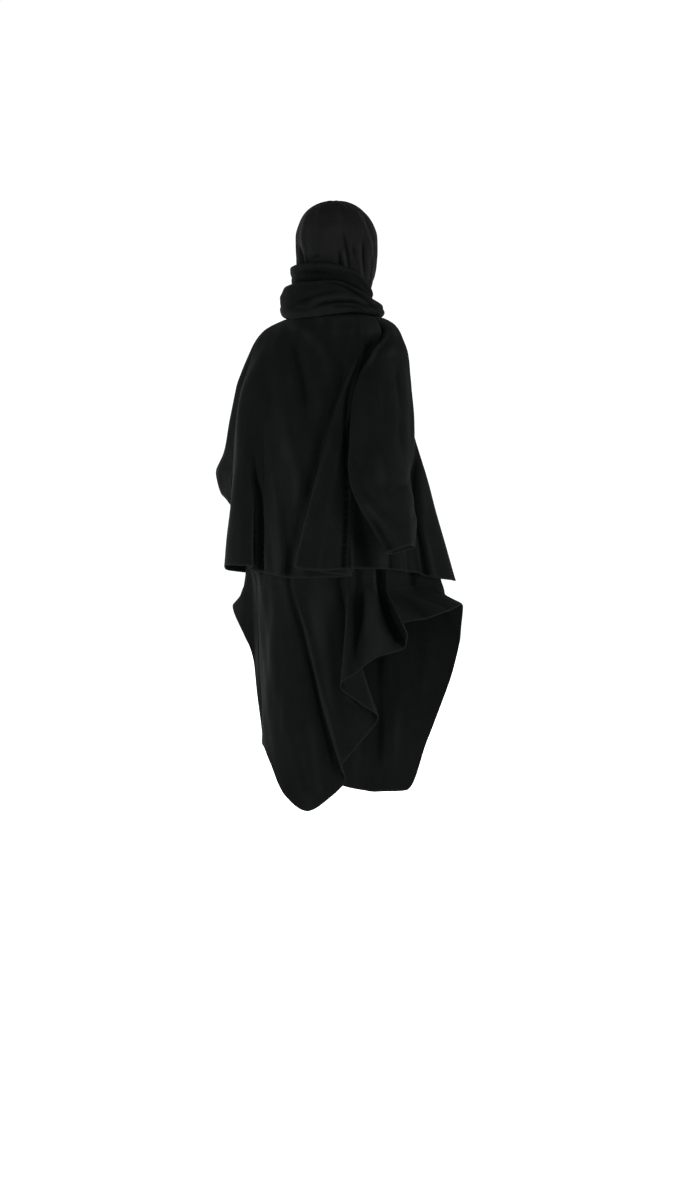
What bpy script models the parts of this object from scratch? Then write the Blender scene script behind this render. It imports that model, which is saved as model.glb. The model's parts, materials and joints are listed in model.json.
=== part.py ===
"""Scarf coat, worn: a wide coat with deep sleeves over a long draped lower tier,
a scarf wound twice round the neck, and a soft hood.

The coat hangs round an upright axis. Angles are in degrees round that axis: 0 is the centre back,
90 the wearer's right side, -90 the left side and 180 the centre front. Tables are in millimetres
and heights count from the shoulder line, where the wearer holds the coat up. The front faces -Y.
"""
import bpy
import bmesh
import numpy as np

MM = 0.001
COAT_WALL = 3.0
HOOD_WALL = 1.8
SEAM_GAP = 0.3
SEAM_BEVEL = 2.2
SEAT_GAP = 0.9
COLUMNS_PER_FOLD = 2
NECK_COLUMNS = 32
WRAP_FOOT = 70.0

NECK_HEIGHT = 52.0
UNDERARM_DROP = 360.0
UPPER_DROPS = (-52.0, -44.0, -22.0, 4.0, 50.0, 110.0, 185.0, 270.0, 315.0, 360.0)
DRAPE_SEAM_DROP = 470.0
DRAPE_WAIST_DROP = 585.0
DRAPE_COVERED_DROPS = (470.0, 495.0, 520.0, 545.0, 570.0)

CLOTH_COLOR = (0.0065, 0.0072, 0.0070, 1.0)
HOOD_COLOR = (0.0110, 0.0115, 0.0115, 1.0)

# Ovals of the yoke: height, half widths at the left and right, depths at the back and front.
YOKE = (
    # height  left  right  back  front
    (52.0, 84.0, 84.0, 84.0, 84.0),
    (44.0, 127.0, 128.0, 99.0, 99.0),
    (22.0, 170.0, 156.0, 111.0, 110.0),
    (0.0, 190.0, 166.0, 120.0, 115.0),
)
CHEST_DROP = 130.0
WAIST_DROP = 300.0

# Folds of the upper tier from the left side seam round the back. Each row is one crest or valley
# of the cloth: its angle in the yoke, and its angle and radius at chest, waist and hem.
BACK_FOLDS = (
    # name            yoke  chest        waist        hem          hem drop
    ("left ridge", -62, -57, 217, -53, 238, -60.6, 262, 541),
    ("tube face", -54, -49, 204, -45, 229, -47, 240, 542),
    ("tube edge", -47, -43, 191, -41, 211, -40, 208, 545),
    ("tube curl", -43.5, -40, 184, -38.5, 199, -50, 206, 551),
    ("left valley", -40, -36, 178, -34, 191, -42.5, 186, 557),
    ("left recess", -24, -22, 167, -20, 193, -20, 192, 567),
    ("centre recess", -4, -4, 158, -3, 190, -2.6, 187, 573),
    ("right recess", 16, 12, 154, 8, 186, 18, 183, 572),
    ("recess turn", 38, 29, 150, 13, 181, 37, 187, 569),
    ("pleat return", 41.5, 31, 153, 14.5, 185, 22, 196, 563),
    ("cone edge", 45, 33, 161, 16, 194, 0.5, 222, 546),
    ("cone left", 48.5, 37, 170, 21, 206, 8.5, 232, 554),
    ("cone right", 52, 42, 169, 27, 205, 20, 229, 556),
    ("cone valley", 55.5, 46, 159, 33, 190, 31, 213, 552),
    ("strip crest", 58.5, 48, 160, 35.5, 191, 36, 218, 550),
    ("strip turn", 61.5, 50, 160, 38, 190, 43, 201, 550),
    ("under arm", 65, 52, 162, 41, 187, 51, 189, 551),
    ("arm hollow", 69, 54, 164, 45, 184, 64, 193, 552),
)
RIGHT_FRONT_FOLDS = (
    ("side hollow", 112, 106, 166, 99, 172, 97, 202, 560),
    ("flare start", 116, 112, 166, 108, 184, 108, 244, 572),
    ("flare crest", 120, 119, 170, 120.5, 214, 121, 295, 577),
    ("flare back", 128, 130, 160, 133, 212, 134, 284, 570),
    ("front hollow", 148, 150, 145, 150, 188, 152, 232, 562),
    ("front edge", 180, 180, 138, 180, 172, 180, 205, 560),
)
LEFT_FRONT_FOLDS = (
    ("front edge", -180, -180, 138, -180, 172, -180, 205, 560),
    ("front hollow", -148, -150, 148, -151, 182, -152, 216, 562),
    ("front crest", -130, -130, 165, -130, 190, -131, 236, 566),
    ("side hollow", -110, -112, 196, -112, 196, -112, 226, 562),
)

# Seams of the sleeves on the body: drop from the shoulder line, angle and radius of the back seam,
# angle and radius of the front seam. They meet at the underarm, in the last row.
RIGHT_ARMHOLE = (
    # drop  back     front
    (-52, 74, 84, 102, 84),
    (-44, 74, 120, 102, 124),
    (-22, 74, 144, 102, 150),
    (0, 73, 154, 102, 162),
    (60, 66, 163, 103, 168),
    (130, 59, 167, 101, 169),
    (210, 56, 180, 97, 168),
    (300, 58, 179, 86, 169),
    (360, 70, 173, 70, 173),
)
LEFT_ARMHOLE = (
    (-52, -74, 84, -102, 84),
    (-44, -73, 125, -102, 118),
    (-22, -73, 171, -102, 153),
    (0, -72, 186, -103, 172),
    (60, -70, 206, -104, 194),
    (130, -66, 224, -106, 204),
    (210, -66, 234, -103, 208),
    (300, -67, 241, -90, 224),
    (360, -76, 246, -76, 246),
)
# Foot of each side seam: drop, angle and radius at the hem.
RIGHT_SIDE_FOOT = (556, 80, 199)
LEFT_SIDE_FOOT = (552, -75, 264)

# Sleeves. A cap row lies level with a row of the body, from the back seam of the armhole out round
# the arm to the front seam; the last one meets at the underarm. Then come the closed rows of the
# forearm, which start and end at the inside of the arm, down to the cuff.
RIGHT_CAP = (
    # back tip   outer back  outer      front: each angle, radius
    ((81, 84), (86, 84), (90, 84), (95, 84)),
    ((81, 123), (87, 125), (91, 126), (96, 126)),
    ((78, 152), (86, 158), (92, 159), (97, 157)),
    ((70, 167), (80, 176), (90, 176), (97, 171)),
    ((55, 182), (66, 198), (84, 197), (98, 185)),
    ((42, 191), (58, 209), (80, 206), (100, 189)),
    ((36, 209), (54, 227), (78, 217), (100, 193)),
    ((34, 226), (52, 247), (74, 229), (94, 197)),
    ((33, 234), (51, 256), (71, 236), (88, 197)),
    ((34, 242), (50, 263), (68, 246), (82, 209)),
)
RIGHT_FOREARM = (
    # inside          back tip         outer back       outer            front
    ((66, 194, -405), (38, 244, -405), (52, 268, -400), (66, 264, -400), (77, 232, -402)),
    ((64, 205, -460), (46, 242, -460), (56, 266, -455), (66, 272, -450), (76, 246, -452)),
    ((64, 214, -518), (55, 238, -517), (59, 260, -508), (66, 270, -498), (75, 246, -502)),
)
LEFT_CAP = (
    ((-81, 84), (-86, 84), (-90, 84), (-95, 84)),
    ((-80, 125), (-86, 124), (-91, 123), (-96, 121)),
    ((-78, 173), (-86, 172), (-92, 168), (-97, 161)),
    ((-78, 196), (-86, 200), (-93, 197), (-98, 187)),
    ((-76, 216), (-84, 223), (-94, 220), (-101, 207)),
    ((-74, 240), (-84, 246), (-96, 243), (-104, 225)),
    ((-74, 253), (-85, 262), (-98, 262), (-106, 240)),
    ((-76, 267), (-86, 283), (-99, 286), (-107, 262)),
    ((-78, 276), (-86, 306), (-100, 308), (-110, 282)),
    ((-81, 274), (-88, 298), (-102, 304), (-113, 284)),
)
LEFT_FOREARM = (
    ((-98, 248, -405), (-90, 274, -395), (-96, 299, -380), (-106, 306, -378), (-116, 292, -390)),
    ((-108, 257, -448), (-100, 280, -430), (-104, 301, -410), (-112, 307, -402), (-119, 297, -422)),
    ((-116, 267, -485), (-109, 281, -462), (-110, 300, -440), (-116, 305, -428), (-121, 298, -454)),
)

# Folds of the lower tier. It is sewn inside the upper tier, so a row has the angle of that seam,
# and its angle and radius just below the upper hem and at its own hem.
DRAPE_BACK_FOLDS = (
    # name            seam  waist        hem          hem drop
    ("left edge", -62, -63.5, 184, -65, 172, 962),
    ("left run", -38, -38, 178, -48, 174, 972),
    ("left slope", -29, -28, 180, -31, 181, 1008),
    ("left foot", -23, -22.5, 181, -19, 188, 1056),
    ("low left", -17, -17, 182, -9, 194, 1084),
    ("lowest point", -13, -13.5, 182, 6.6, 198, 1113),
    ("diagonal hollow", -10, -10.5, 180, 25.5, 178, 1074),
)
CASCADE_FOLDS = (
    ("diagonal hollow", -10, -10.5, 180, 25.5, 178, 1074),
    ("first turn", -8.5, -8.8, 179, 33.5, 172, 1046),
    ("first return", -7, -7.4, 180, 32, 184, 1030),
    ("first edge", -5, -5.6, 182, 29.5, 196, 1012),
    ("first face", 12, 12, 178, 42, 198, 957),
    ("second turn", 28, 28.5, 162, 54.5, 205, 900),
    ("second return", 32, 32, 170, 42, 214, 865),
    ("second edge", 36, 35.5, 184, 28.5, 221, 823),
    ("second hollow", 44, 44, 166, 37, 231, 793),
    ("second crest", 53, 53, 180, 49, 240, 757),
    ("third turn", 62, 64, 162, 70, 234, 733),
    ("third return", 66, 66.5, 173, 68, 248, 706),
    ("third edge", 70, 67.5, 185, 63, 260, 678),
    ("third face", 80, 79, 186, 77, 278, 664),
    ("third rise", 95, 97, 190, 94, 293, 645),
    ("right wing", 112, 118, 260, 110, 309, 632),
)
DRAPE_RIGHT_FRONT_FOLDS = (
    ("right wing", 112, 118, 260, 110, 309, 632),
    ("wing fall", 122, 124, 262, 124.5, 304, 730),
    ("far slope", 132, 133, 242, 135, 290, 846),
    ("far hem", 142, 142, 218, 146.5, 267, 968),
    ("far foot", 154, 153, 200, 160, 249, 1092),
    ("centre front", 180, 180, 186, 180, 226, 1098),
)
DRAPE_LEFT_FRONT_FOLDS = (
    ("centre front", -180, -180, 186, -180, 226, 1098),
    ("front run", -156, -156, 184, -160, 208, 1082),
    ("front slope", -134, -132, 196, -140, 206, 1020),
    ("side slope", -112, -108, 204, -114, 216, 860),
    ("left wing", -90, -88, 236, -90, 272, 634),
    ("wing hollow", -76, -76, 200, -77, 197, 775),
    ("left edge", -62, -63.5, 184, -65, 172, 962),
)

# Hood: height, half width, depth at the back and at the front, shift of the centre to the back.
HOOD = (
    # height  width  back  front  shift
    (68.0, 60.0, 60.0, 58.0, 0.0),
    (100.0, 80.0, 80.0, 78.0, -2.0),
    (140.0, 92.0, 93.0, 90.0, -8.0),
    (175.0, 96.0, 101.0, 96.0, -14.0),
    (210.0, 97.0, 107.0, 99.0, -17.0),
    (245.0, 96.0, 108.0, 98.0, -17.0),
    (275.0, 87.0, 101.0, 90.0, -16.0),
    (300.0, 71.0, 84.0, 74.0, -13.0),
    (318.0, 47.0, 56.0, 50.0, -10.0),
)
HOOD_TOP = 329.0
HOOD_CROWN_SHIFT = -6.0
HOOD_FOLDS = (
    # angle  half width deg  depth  lowest  highest height
    (12.0, 7.0, -4.0, 68.0, 235.0),
    (34.0, 6.0, -4.5, 68.0, 235.0),
    (-38.0, 7.0, -5.0, 68.0, 295.0),
    (-62.0, 7.0, -3.5, 68.0, 250.0),
    (58.0, 7.0, -4.0, 68.0, 240.0),
    (-95.0, 8.0, -4.0, 68.0, 230.0),
)
FACE_OPENING = {"height": 216.0, "half_height": 76.0, "half_width": 64.0, "depth": 60.0}

# The two wound stretches of the scarf: angle, lowest and highest edge, thickness of the roll.
UPPER_WRAP = (
    # angle  low  high  thick
    (-180.0, 92.0, 150.0, 13.0),
    (-120.0, 98.0, 166.0, 13.0),
    (-65.0, 100.0, 172.0, 12.5),
    (-10.0, 100.0, 171.0, 13.0),
    (25.0, 98.0, 166.0, 13.0),
    (55.0, 88.0, 150.0, 12.0),
    (85.0, 78.0, 124.0, 11.0),
    (120.0, 72.0, 106.0, 11.0),
    (150.0, 80.0, 128.0, 12.0),
    (180.0, 92.0, 150.0, 13.0),
)
LOWER_WRAP = (
    # angle  low  high  outer radius
    (-180.0, 50.0, 116.0, 128.0),
    (-120.0, 52.0, 122.0, 130.0),
    (-65.0, 51.0, 122.0, 130.0),
    (-20.0, 46.0, 124.0, 126.0),
    (25.0, 50.0, 125.0, 124.0),
    (55.0, 60.0, 106.0, 122.0),
    (85.0, 58.0, 88.0, 122.0),
    (115.0, 54.0, 84.0, 121.0),
    (150.0, 53.0, 98.0, 124.0),
    (180.0, 50.0, 116.0, 128.0),
)


def smooth(knots, values, at):
    """Monotone cubic through the knots, so that cloth never swings past its own rows."""
    knots, values = np.asarray(knots, float), np.asarray(values, float)
    step = np.diff(knots)
    slope = np.diff(values) / step
    tangent = np.zeros_like(values)
    tangent[0], tangent[-1] = slope[0], slope[-1]
    for k in range(1, len(values) - 1):
        before, after = slope[k - 1], slope[k]
        if before * after > 0:
            tangent[k] = 2.0 * before * after / (before + after)
    span = np.clip(np.searchsorted(knots, at, side="right") - 1, 0, len(step) - 1)
    t = (at - knots[span]) / step[span]
    rise = values[span + 1] - values[span]
    a = tangent[span] * step[span]
    b = tangent[span + 1] * step[span]
    return values[span] + t * a + t * t * (3 * rise - 2 * a - b) + t ** 3 * (a + b - 2 * rise)


def place(angle, radius, height):
    """Points in metres from angles, radii and heights."""
    turn = np.radians(angle)
    return np.stack([-radius * np.sin(turn), radius * np.cos(turn), height + 0 * radius], -1) * MM


def oval(angle, left, right, back, front):
    """Radius of an oval whose four sides have their own reach."""
    turn = np.radians(angle)
    across = np.where(np.sin(turn) > 0, right, left)
    along = np.where(np.cos(turn) > 0, back, front)
    return 1.0 / np.sqrt((np.sin(turn) / across) ** 2 + (np.cos(turn) / along) ** 2)


def fold_line(row, drops):
    """Angle and radius of one crest or valley of the upper tier at the given drops."""
    _, yoke_angle, chest_angle, chest, waist_angle, waist, hem_angle, hem, hem_drop = row
    knots = [-height for height, *_ in YOKE] + [CHEST_DROP, WAIST_DROP, hem_drop]
    radii = [float(oval(yoke_angle, *sides)) for _, *sides in YOKE] + [chest, waist, hem]
    angles = [yoke_angle] * len(YOKE) + [chest_angle, waist_angle, hem_angle]
    return smooth(knots, angles, drops), smooth(knots, radii, drops)


def seam_line(armhole, foot, side, drops):
    """Angle and radius down one side of an armhole, and of the side seam below it."""
    table = np.array(armhole, float)
    first = 1 if side == "back" else 3
    line = []
    for part in (0, 1):
        upper = smooth(table[:, 0], table[:, first + part], np.minimum(drops, UNDERARM_DROP))
        lower = np.interp(drops, (UNDERARM_DROP, foot[0]), (table[-1, first + part], foot[1 + part]))
        line.append(np.where(drops <= UNDERARM_DROP, upper, lower))
    return line


def tier_drops(hem_drop, below=4):
    """Drops down one column: fixed ones to the underarm, then on to its own hem."""
    lower = np.linspace(UNDERARM_DROP, hem_drop, below + 1)[1:]
    return np.concatenate([UPPER_DROPS, lower])


def fold_lines(folds):
    """Angles, radii and drops down each crest and valley of the upper tier."""
    columns = [tier_drops(row[-1]) for row in folds]
    return [np.array((*fold_line(row, drops), drops)) for row, drops in zip(folds, columns)]


def side_line(armhole, foot, side):
    """The same down a panel's side edge: the armhole, then the side seam."""
    drops = tier_drops(foot[0])
    return [np.array((*seam_line(armhole, foot, side, drops), drops))]


def spread(lines, steps):
    """Fill in columns between the lines; returns a grid of points, rows by columns."""
    knots = np.arange(len(lines))
    at = np.linspace(0, len(lines) - 1, (len(lines) - 1) * steps + 1)
    parts = [np.array([smooth(knots, lines[:, part, level], at) for level in range(lines.shape[2])])
             for part in range(3)]
    return place(parts[0], parts[1], -parts[2])


def mean_way(grid, axis, closed=False):
    """Direction along a grid at every point: the mean of the ways to it and on from it."""
    ends = {"append": np.take(grid, [0], axis)} if closed else {}
    step = np.diff(grid, axis=axis, **ends)
    step = step / np.maximum(np.linalg.norm(step, axis=2, keepdims=True), 1e-12)
    if closed:
        return step + np.roll(step, 1, axis)
    first, last = np.take(step, [0], axis), np.take(step, [-1], axis)
    return np.concatenate([first, step], axis) + np.concatenate([step, last], axis)


def facing(grid, closed=False):
    """Outward normals of a grid of points."""
    normal = np.cross(mean_way(grid, 0), mean_way(grid, 1, closed))
    return normal / np.maximum(np.linalg.norm(normal, axis=2, keepdims=True), 1e-12)


def pull_in(edge, inner, distance):
    """Move an edge of a panel towards its next line of points."""
    way = inner - edge
    return edge + way / np.linalg.norm(way, axis=-1, keepdims=True) * distance * MM


def inset_edges(grid, distance):
    """Pull the two side edges of a panel in."""
    grid = grid.copy()
    grid[:, 0] = pull_in(grid[:, 0], grid[:, 1], distance)
    grid[:, -1] = pull_in(grid[:, -1], grid[:, -2], distance)
    return grid


def material(name, color):
    made = bpy.data.materials.get(name) or bpy.data.materials.new(name)
    made.use_nodes = True
    shader = made.node_tree.nodes["Principled BSDF"]
    shader.inputs["Base Color"].default_value = color
    shader.inputs["Roughness"].default_value = 0.95
    shader.inputs["Metallic"].default_value = 0.0
    return made


def cloth(name, outer, inner, color, closed=False, cap=None, closed_from=None):
    """A cloth wall between two grids of points: two skins joined round every free edge."""
    mesh = bpy.data.meshes.new(name)
    form = bmesh.new()
    skins = [[[form.verts.new(point) for point in row] for row in skin] for skin in (outer, inner)]
    rows, columns = outer.shape[:2]
    last = columns if closed else columns - 1
    open_rows = rows - 1
    if closed_from is not None:
        open_rows = closed_from
        for skin in skins:
            for row in skin[closed_from:]:
                form.verts.remove(row[-1])
                row[-1] = row[0]

    def quad(a, b, c, d):
        form.faces.new((a, b, c, d))

    for r in range(rows - 1):
        for c in range(last):
            n = (c + 1) % columns
            quad(skins[0][r][c], skins[0][r + 1][c], skins[0][r + 1][n], skins[0][r][n])
            quad(skins[1][r][c], skins[1][r][n], skins[1][r + 1][n], skins[1][r + 1][c])
    edges = [0, rows - 1] if cap is None else [rows - 1]
    for r in edges:
        for c in range(last):
            n = (c + 1) % columns
            around = (skins[0][r][c], skins[0][r][n], skins[1][r][n], skins[1][r][c])
            quad(*(around if r == 0 else around[::-1]))
    if not closed:
        for c in (0, columns - 1):
            for r in range(open_rows):
                down = (skins[0][r][c], skins[1][r][c], skins[1][r + 1][c], skins[0][r + 1][c])
                quad(*(down if c == 0 else down[::-1]))
    if cap is not None:
        for skin, point, flip in ((skins[0], cap[0], False), (skins[1], cap[1], True)):
            top = form.verts.new(point)
            for c in range(last):
                ring = (skin[0][c], skin[0][(c + 1) % columns])
                form.faces.new((top, *(ring[::-1] if flip else ring)))
    bmesh.ops.recalc_face_normals(form, faces=form.faces)
    form.to_mesh(mesh)
    form.free()
    mesh.materials.append(material(name + "_cloth", color))
    mesh.shade_smooth()
    made = bpy.data.objects.new(name, mesh)
    bpy.context.collection.objects.link(made)
    return made


def panel(name, grid):
    """A panel of coat cloth on a grid of points, its seam edges bevelled on the inside."""
    inner = grid - facing(grid) * COAT_WALL * MM
    return cloth(name, inset_edges(grid, SEAM_GAP / 2), inset_edges(inner, SEAM_GAP / 2 + SEAM_BEVEL),
                 CLOTH_COLOR)


def body_panels():
    """Back and fronts of the upper tier."""
    right, left = (RIGHT_ARMHOLE, RIGHT_SIDE_FOOT), (LEFT_ARMHOLE, LEFT_SIDE_FOOT)
    lines = {
        "back_panel": side_line(*left, "back") + fold_lines(BACK_FOLDS) + side_line(*right, "back"),
        "right_front": side_line(*right, "front") + fold_lines(RIGHT_FRONT_FOLDS),
        "left_front": fold_lines(LEFT_FRONT_FOLDS) + side_line(*left, "front"),
    }
    grids = {name: spread(np.array(rows), COLUMNS_PER_FOLD) for name, rows in lines.items()}
    for name, grid in grids.items():
        panel(name, grid)
    return grids


def sleeve(name, armhole, foot, cap, forearm):
    """A deep sleeve: open rows down the armhole, then closed rows from the underarm to the cuff."""
    drops = np.array(UPPER_DROPS)
    back, front = (seam_line(armhole, foot, side, drops) for side in ("back", "front"))
    rows = [[(back[0][k], back[1][k], -drop), *((angle, radius, -drop) for angle, radius in row),
             (front[0][k], front[1][k], -drop)] for k, (drop, row) in enumerate(zip(drops, cap))]
    rows += [[*row, row[0]] for row in forearm]
    rows = np.array(rows, float)
    grid = place(rows[..., 0], rows[..., 1], rows[..., 2])
    grid = finer(finer(grid, 1, 3), 0, 2, len(UPPER_DROPS) - 1)
    normals = facing(grid)
    if (normals * (grid - grid.mean(1, keepdims=True))).sum() < 0:
        normals = -normals
    under = len(UPPER_DROPS) - 1
    inside = normals[under:, 0] + normals[under:, -1]
    inside[0] = -sum(pull_in(grid[under, a], grid[under, b], 1.0) - grid[under, a] for a, b in ((0, 1), (-1, -2)))
    normals[under:, 0] = normals[under:, -1] = inside / np.linalg.norm(inside, axis=1, keepdims=True)
    inner = grid - normals * COAT_WALL * MM
    for skin, distance in ((grid, SEAM_GAP), (inner, SEAM_GAP + SEAM_BEVEL)):
        for edge, beside in ((0, 1), (-1, -2)):
            skin[:under + 1, edge] = pull_in(skin[:under + 1, edge], skin[:under + 1, beside], distance)
        skin[under, 0] = skin[under, -1] = (skin[under, 0] + skin[under, -1]) / 2
    skin_drop = np.array([0, 0, SEAM_GAP * MM])
    grid[under, [0, -1]] -= skin_drop
    inner[under, [0, -1]] -= skin_drop
    return cloth(name, grid, inner, CLOTH_COLOR, closed_from=under)


def finer(grid, axis, steps, start=0):
    """Put smooth rows or columns between those of a grid from one of them on."""
    count = grid.shape[axis]
    at = np.concatenate([np.arange(start), np.linspace(start, count - 1, (count - 1 - start) * steps + 1)])
    lines = np.moveaxis(grid, axis, 0).reshape(count, -1)
    made = np.array([smooth(np.arange(count), lines[:, k], at) for k in range(lines.shape[1])]).T
    return np.moveaxis(made.reshape(len(at), *np.delete(grid.shape, axis)), 0, axis)


def innermost(grids, drop, reach=5):
    """Radius of the upper tier's innermost cloth round the axis at one drop."""
    angles = np.arange(-180, 181)
    ways = place(angles, np.full(angles.shape, 1.0 / MM), 0)[:, :2]
    least = np.full(angles.shape, 1e9)
    for grid in grids.values():
        loop = np.array([[np.interp(drop * MM, -column[:, 2], column[:, part]) for part in (0, 1)]
                         for column in grid.transpose(1, 0, 2)])
        for start, end in zip(loop[:-1], loop[1:]):
            along = end - start
            across = ways[:, 0] * along[1] - ways[:, 1] * along[0]
            across = np.where(abs(across) < 1e-9, 1e-9, across)
            radius = (start[0] * along[1] - start[1] * along[0]) / across
            part = (start[0] * ways[:, 1] - start[1] * ways[:, 0]) / across
            crossing = (part >= -0.001) & (part <= 1.001) & (radius > 0)
            least = np.where(crossing, np.minimum(least, radius / MM), least)
    around = np.concatenate([least[-1 - reach:-1], least, least[1:1 + reach]])
    return angles, np.min([around[k:k + len(least)] for k in range(2 * reach + 1)], axis=0)


def drape_lines(folds, limits, rows=10):
    """Lines of a panel of the lower tier: angles, radii and drops down each crest and valley."""
    lines = []
    for _, seam_angle, waist_angle, waist, hem_angle, hem, hem_drop in folds:
        start = float(np.interp(seam_angle, *limits[DRAPE_SEAM_DROP]))
        knots = [DRAPE_SEAM_DROP, DRAPE_WAIST_DROP, hem_drop]
        lower = np.linspace(DRAPE_WAIST_DROP, hem_drop, rows - 2)
        drops = np.concatenate([np.linspace(DRAPE_SEAM_DROP, DRAPE_WAIST_DROP, 4)[:-1], lower])
        angles = smooth(knots, [seam_angle, waist_angle, hem_angle], drops)
        lines.append((angles, smooth(knots, [start, waist, hem], drops), drops))
    return np.array(lines)


def keep_inside(grid, limits):
    """Hold the lower tier inside the upper tier as far down as the upper hem."""
    angle = np.degrees(np.arctan2(-grid[..., 0], grid[..., 1]))
    radius = np.hypot(grid[..., 0], grid[..., 1])
    drop = -grid[..., 2] / MM
    levels = sorted(limits)
    room = np.array([np.interp(angle, *limits[level]) for level in levels])
    above = np.clip(np.searchsorted(levels, drop, side="right") - 1, 0, len(levels) - 2)
    part = np.clip((drop - np.take(levels, above)) / np.take(np.diff(levels), above), 0, 1)
    most = (np.take_along_axis(room, above[None], 0)[0] * (1 - part)
            + np.take_along_axis(room, above[None] + 1, 0)[0] * part) * MM
    held = np.where(drop < DRAPE_WAIST_DROP - 1, np.minimum(radius, most), radius)
    grid[..., :2] *= (held / radius)[..., None]
    return grid


def lower_tier(grids):
    """The long draped tier that hangs from a seam inside the upper tier."""
    limits = {}
    for drop in DRAPE_COVERED_DROPS:
        angles, radii = innermost(grids, drop)
        limits[drop] = (angles, radii - COAT_WALL - SEAT_GAP - 0.3)
    for name, folds, steps in (("drape_back", DRAPE_BACK_FOLDS, 2),
                               ("drape_cascade", CASCADE_FOLDS, 2),
                               ("drape_right_front", DRAPE_RIGHT_FRONT_FOLDS, 2),
                               ("drape_left_front", DRAPE_LEFT_FRONT_FOLDS, 2)):
        panel(name, keep_inside(spread(drape_lines(folds, limits), steps), limits))


def hood_radius(angle, height):
    """Reach of the hood from the upright axis, its soft gathers left out."""
    table = np.array(HOOD)
    level = np.clip(height, table[0, 0], table[-1, 0])
    width, back, front, shift = (smooth(table[:, 0], table[:, part], level) for part in range(1, 5))
    turn = np.radians(angle)
    reach = oval(angle, width, width, back, front)
    return np.hypot(reach * np.sin(turn), reach * np.cos(turn) + shift)


def hood():
    """The soft hood: a gathered dome with an oval opening for the face."""
    table = np.array(HOOD)
    levels = smooth(np.arange(len(HOOD)), table[:, 0], np.linspace(len(HOOD) - 1, 0, 12))
    angles = np.linspace(-180, 180, NECK_COLUMNS, endpoint=False)
    height, angle = np.meshgrid(levels, angles, indexing="ij")
    width, back, front, shift = (smooth(table[:, 0], table[:, part], height) for part in range(1, 5))
    reach = oval(angle, width, width, back, front)
    for fold_angle, half_width, depth, lowest, highest in HOOD_FOLDS:
        away = (angle - fold_angle) / half_width
        fade = np.clip((highest - height) / (highest - lowest), 0, 1) * np.clip((height - 100) / 25, 0, 1)
        reach = reach + depth * fade * np.exp(-away * away)
    grid = place(angle, reach, height)
    grid[..., 1] += shift * MM
    normals = facing(grid, closed=True)
    if (normals[..., :2] * grid[..., :2]).sum() < 0:
        normals = -normals
    top = np.array([0.0, HOOD_CROWN_SHIFT * MM, HOOD_TOP * MM])
    cap = (top, top - np.array([0, 0, HOOD_WALL * MM]))
    dome = cloth("hood", grid, grid - normals * HOOD_WALL * MM, HOOD_COLOR, closed=True, cap=cap)

    opening = FACE_OPENING
    bpy.ops.mesh.primitive_cylinder_add(vertices=40, radius=1.0, depth=1.0, rotation=(np.pi / 2, 0, 0))
    cutter = bpy.context.object
    cutter.name = "face_cutter"
    cutter.scale = (opening["half_width"] * MM, opening["half_height"] * MM, 2 * opening["depth"] * MM)
    cutter.location = (0, -(opening["depth"] + 45) * MM, opening["height"] * MM)
    cutter.hide_render = True
    cutter.display_type = "WIRE"
    cut = dome.modifiers.new("face opening", "BOOLEAN")
    cut.operation = "DIFFERENCE"
    cut.object = cutter


def wrap(name, stations, section):
    """A wound stretch of the scarf: a folded band swept round the neck, open along its underside."""
    angles = np.linspace(-180, 180, NECK_COLUMNS, endpoint=False)
    table = np.array(stations)
    low, high, size = (smooth(table[:, 0], table[:, part], angles) for part in (1, 2, 3))
    lines = np.array([section(*values) for values in zip(angles, low, high, size)])
    grid = place(angles, lines[..., 0].T, lines[..., 1].T)
    normals = facing(grid, closed=True)
    if (normals[2, :, :2] * grid[2, :, :2]).sum() < 0:
        normals = -normals
    return cloth(name, grid, grid - normals * COAT_WALL * MM, CLOTH_COLOR, closed=True)


def round_hood(angle, height):
    """Radius that just clears the hood at one height."""
    return float(hood_radius(angle, np.array([height]))[0]) + SEAT_GAP


def round_upper_wrap(angle, height):
    """Radius that just clears the upper wrap at one height."""
    thick = smooth(*np.array(UPPER_WRAP)[:, [0, 3]].T, np.array([angle]))[0]
    return round_hood(angle, height) + thick + SEAT_GAP


def upper_section(angle, low, high, thick):
    """Radius and height down the outside of the upper wrap, over its roll and down inside."""
    foot, roll = WRAP_FOOT, 0.45 * thick
    outside = [(round_hood(angle, level) + thick, level) for level in np.linspace(foot, high - roll, 6)]
    inside = [(round_hood(angle, level), level) for level in np.linspace(high - roll, foot, 6)]
    return outside + [(round_hood(angle, high) + 0.5 * thick, high)] + inside


def lower_section(angle, low, high, outer):
    """The same for the lower wrap, whose inner edge is sewn to the neck edge."""
    neck = float(oval(angle, *YOKE[0][1:])) - COAT_WALL
    seam, tall = NECK_HEIGHT + SEAM_GAP, high - low

    def against(level):
        return max(round_upper_wrap(angle, level), neck)

    inner_top = high - 0.22 * tall
    inside = [(against(level), level) for level in np.linspace(inner_top, seam + 5, 5)]
    return [(outer - 12, low),
            (outer - 3, low + 0.12 * tall),
            (outer, low + 0.34 * tall),
            (outer - 1, low + 0.58 * tall),
            (outer - 6, low + 0.84 * tall),
            ((outer + against(high)) / 2 + 1, high),
            (against(high) + 3, low + 0.92 * tall)] + inside + [(neck, seam)]


def main():
    for old in list(bpy.data.objects):
        bpy.data.objects.remove(old)
    grids = body_panels()
    sleeve("right_sleeve", RIGHT_ARMHOLE, RIGHT_SIDE_FOOT, RIGHT_CAP, RIGHT_FOREARM)
    sleeve("left_sleeve", LEFT_ARMHOLE, LEFT_SIDE_FOOT, LEFT_CAP, LEFT_FOREARM)
    lower_tier(grids)
    hood()
    wrap("scarf_upper_wrap", UPPER_WRAP, upper_section)
    wrap("scarf_lower_wrap", LOWER_WRAP, lower_section)


main()
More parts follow.
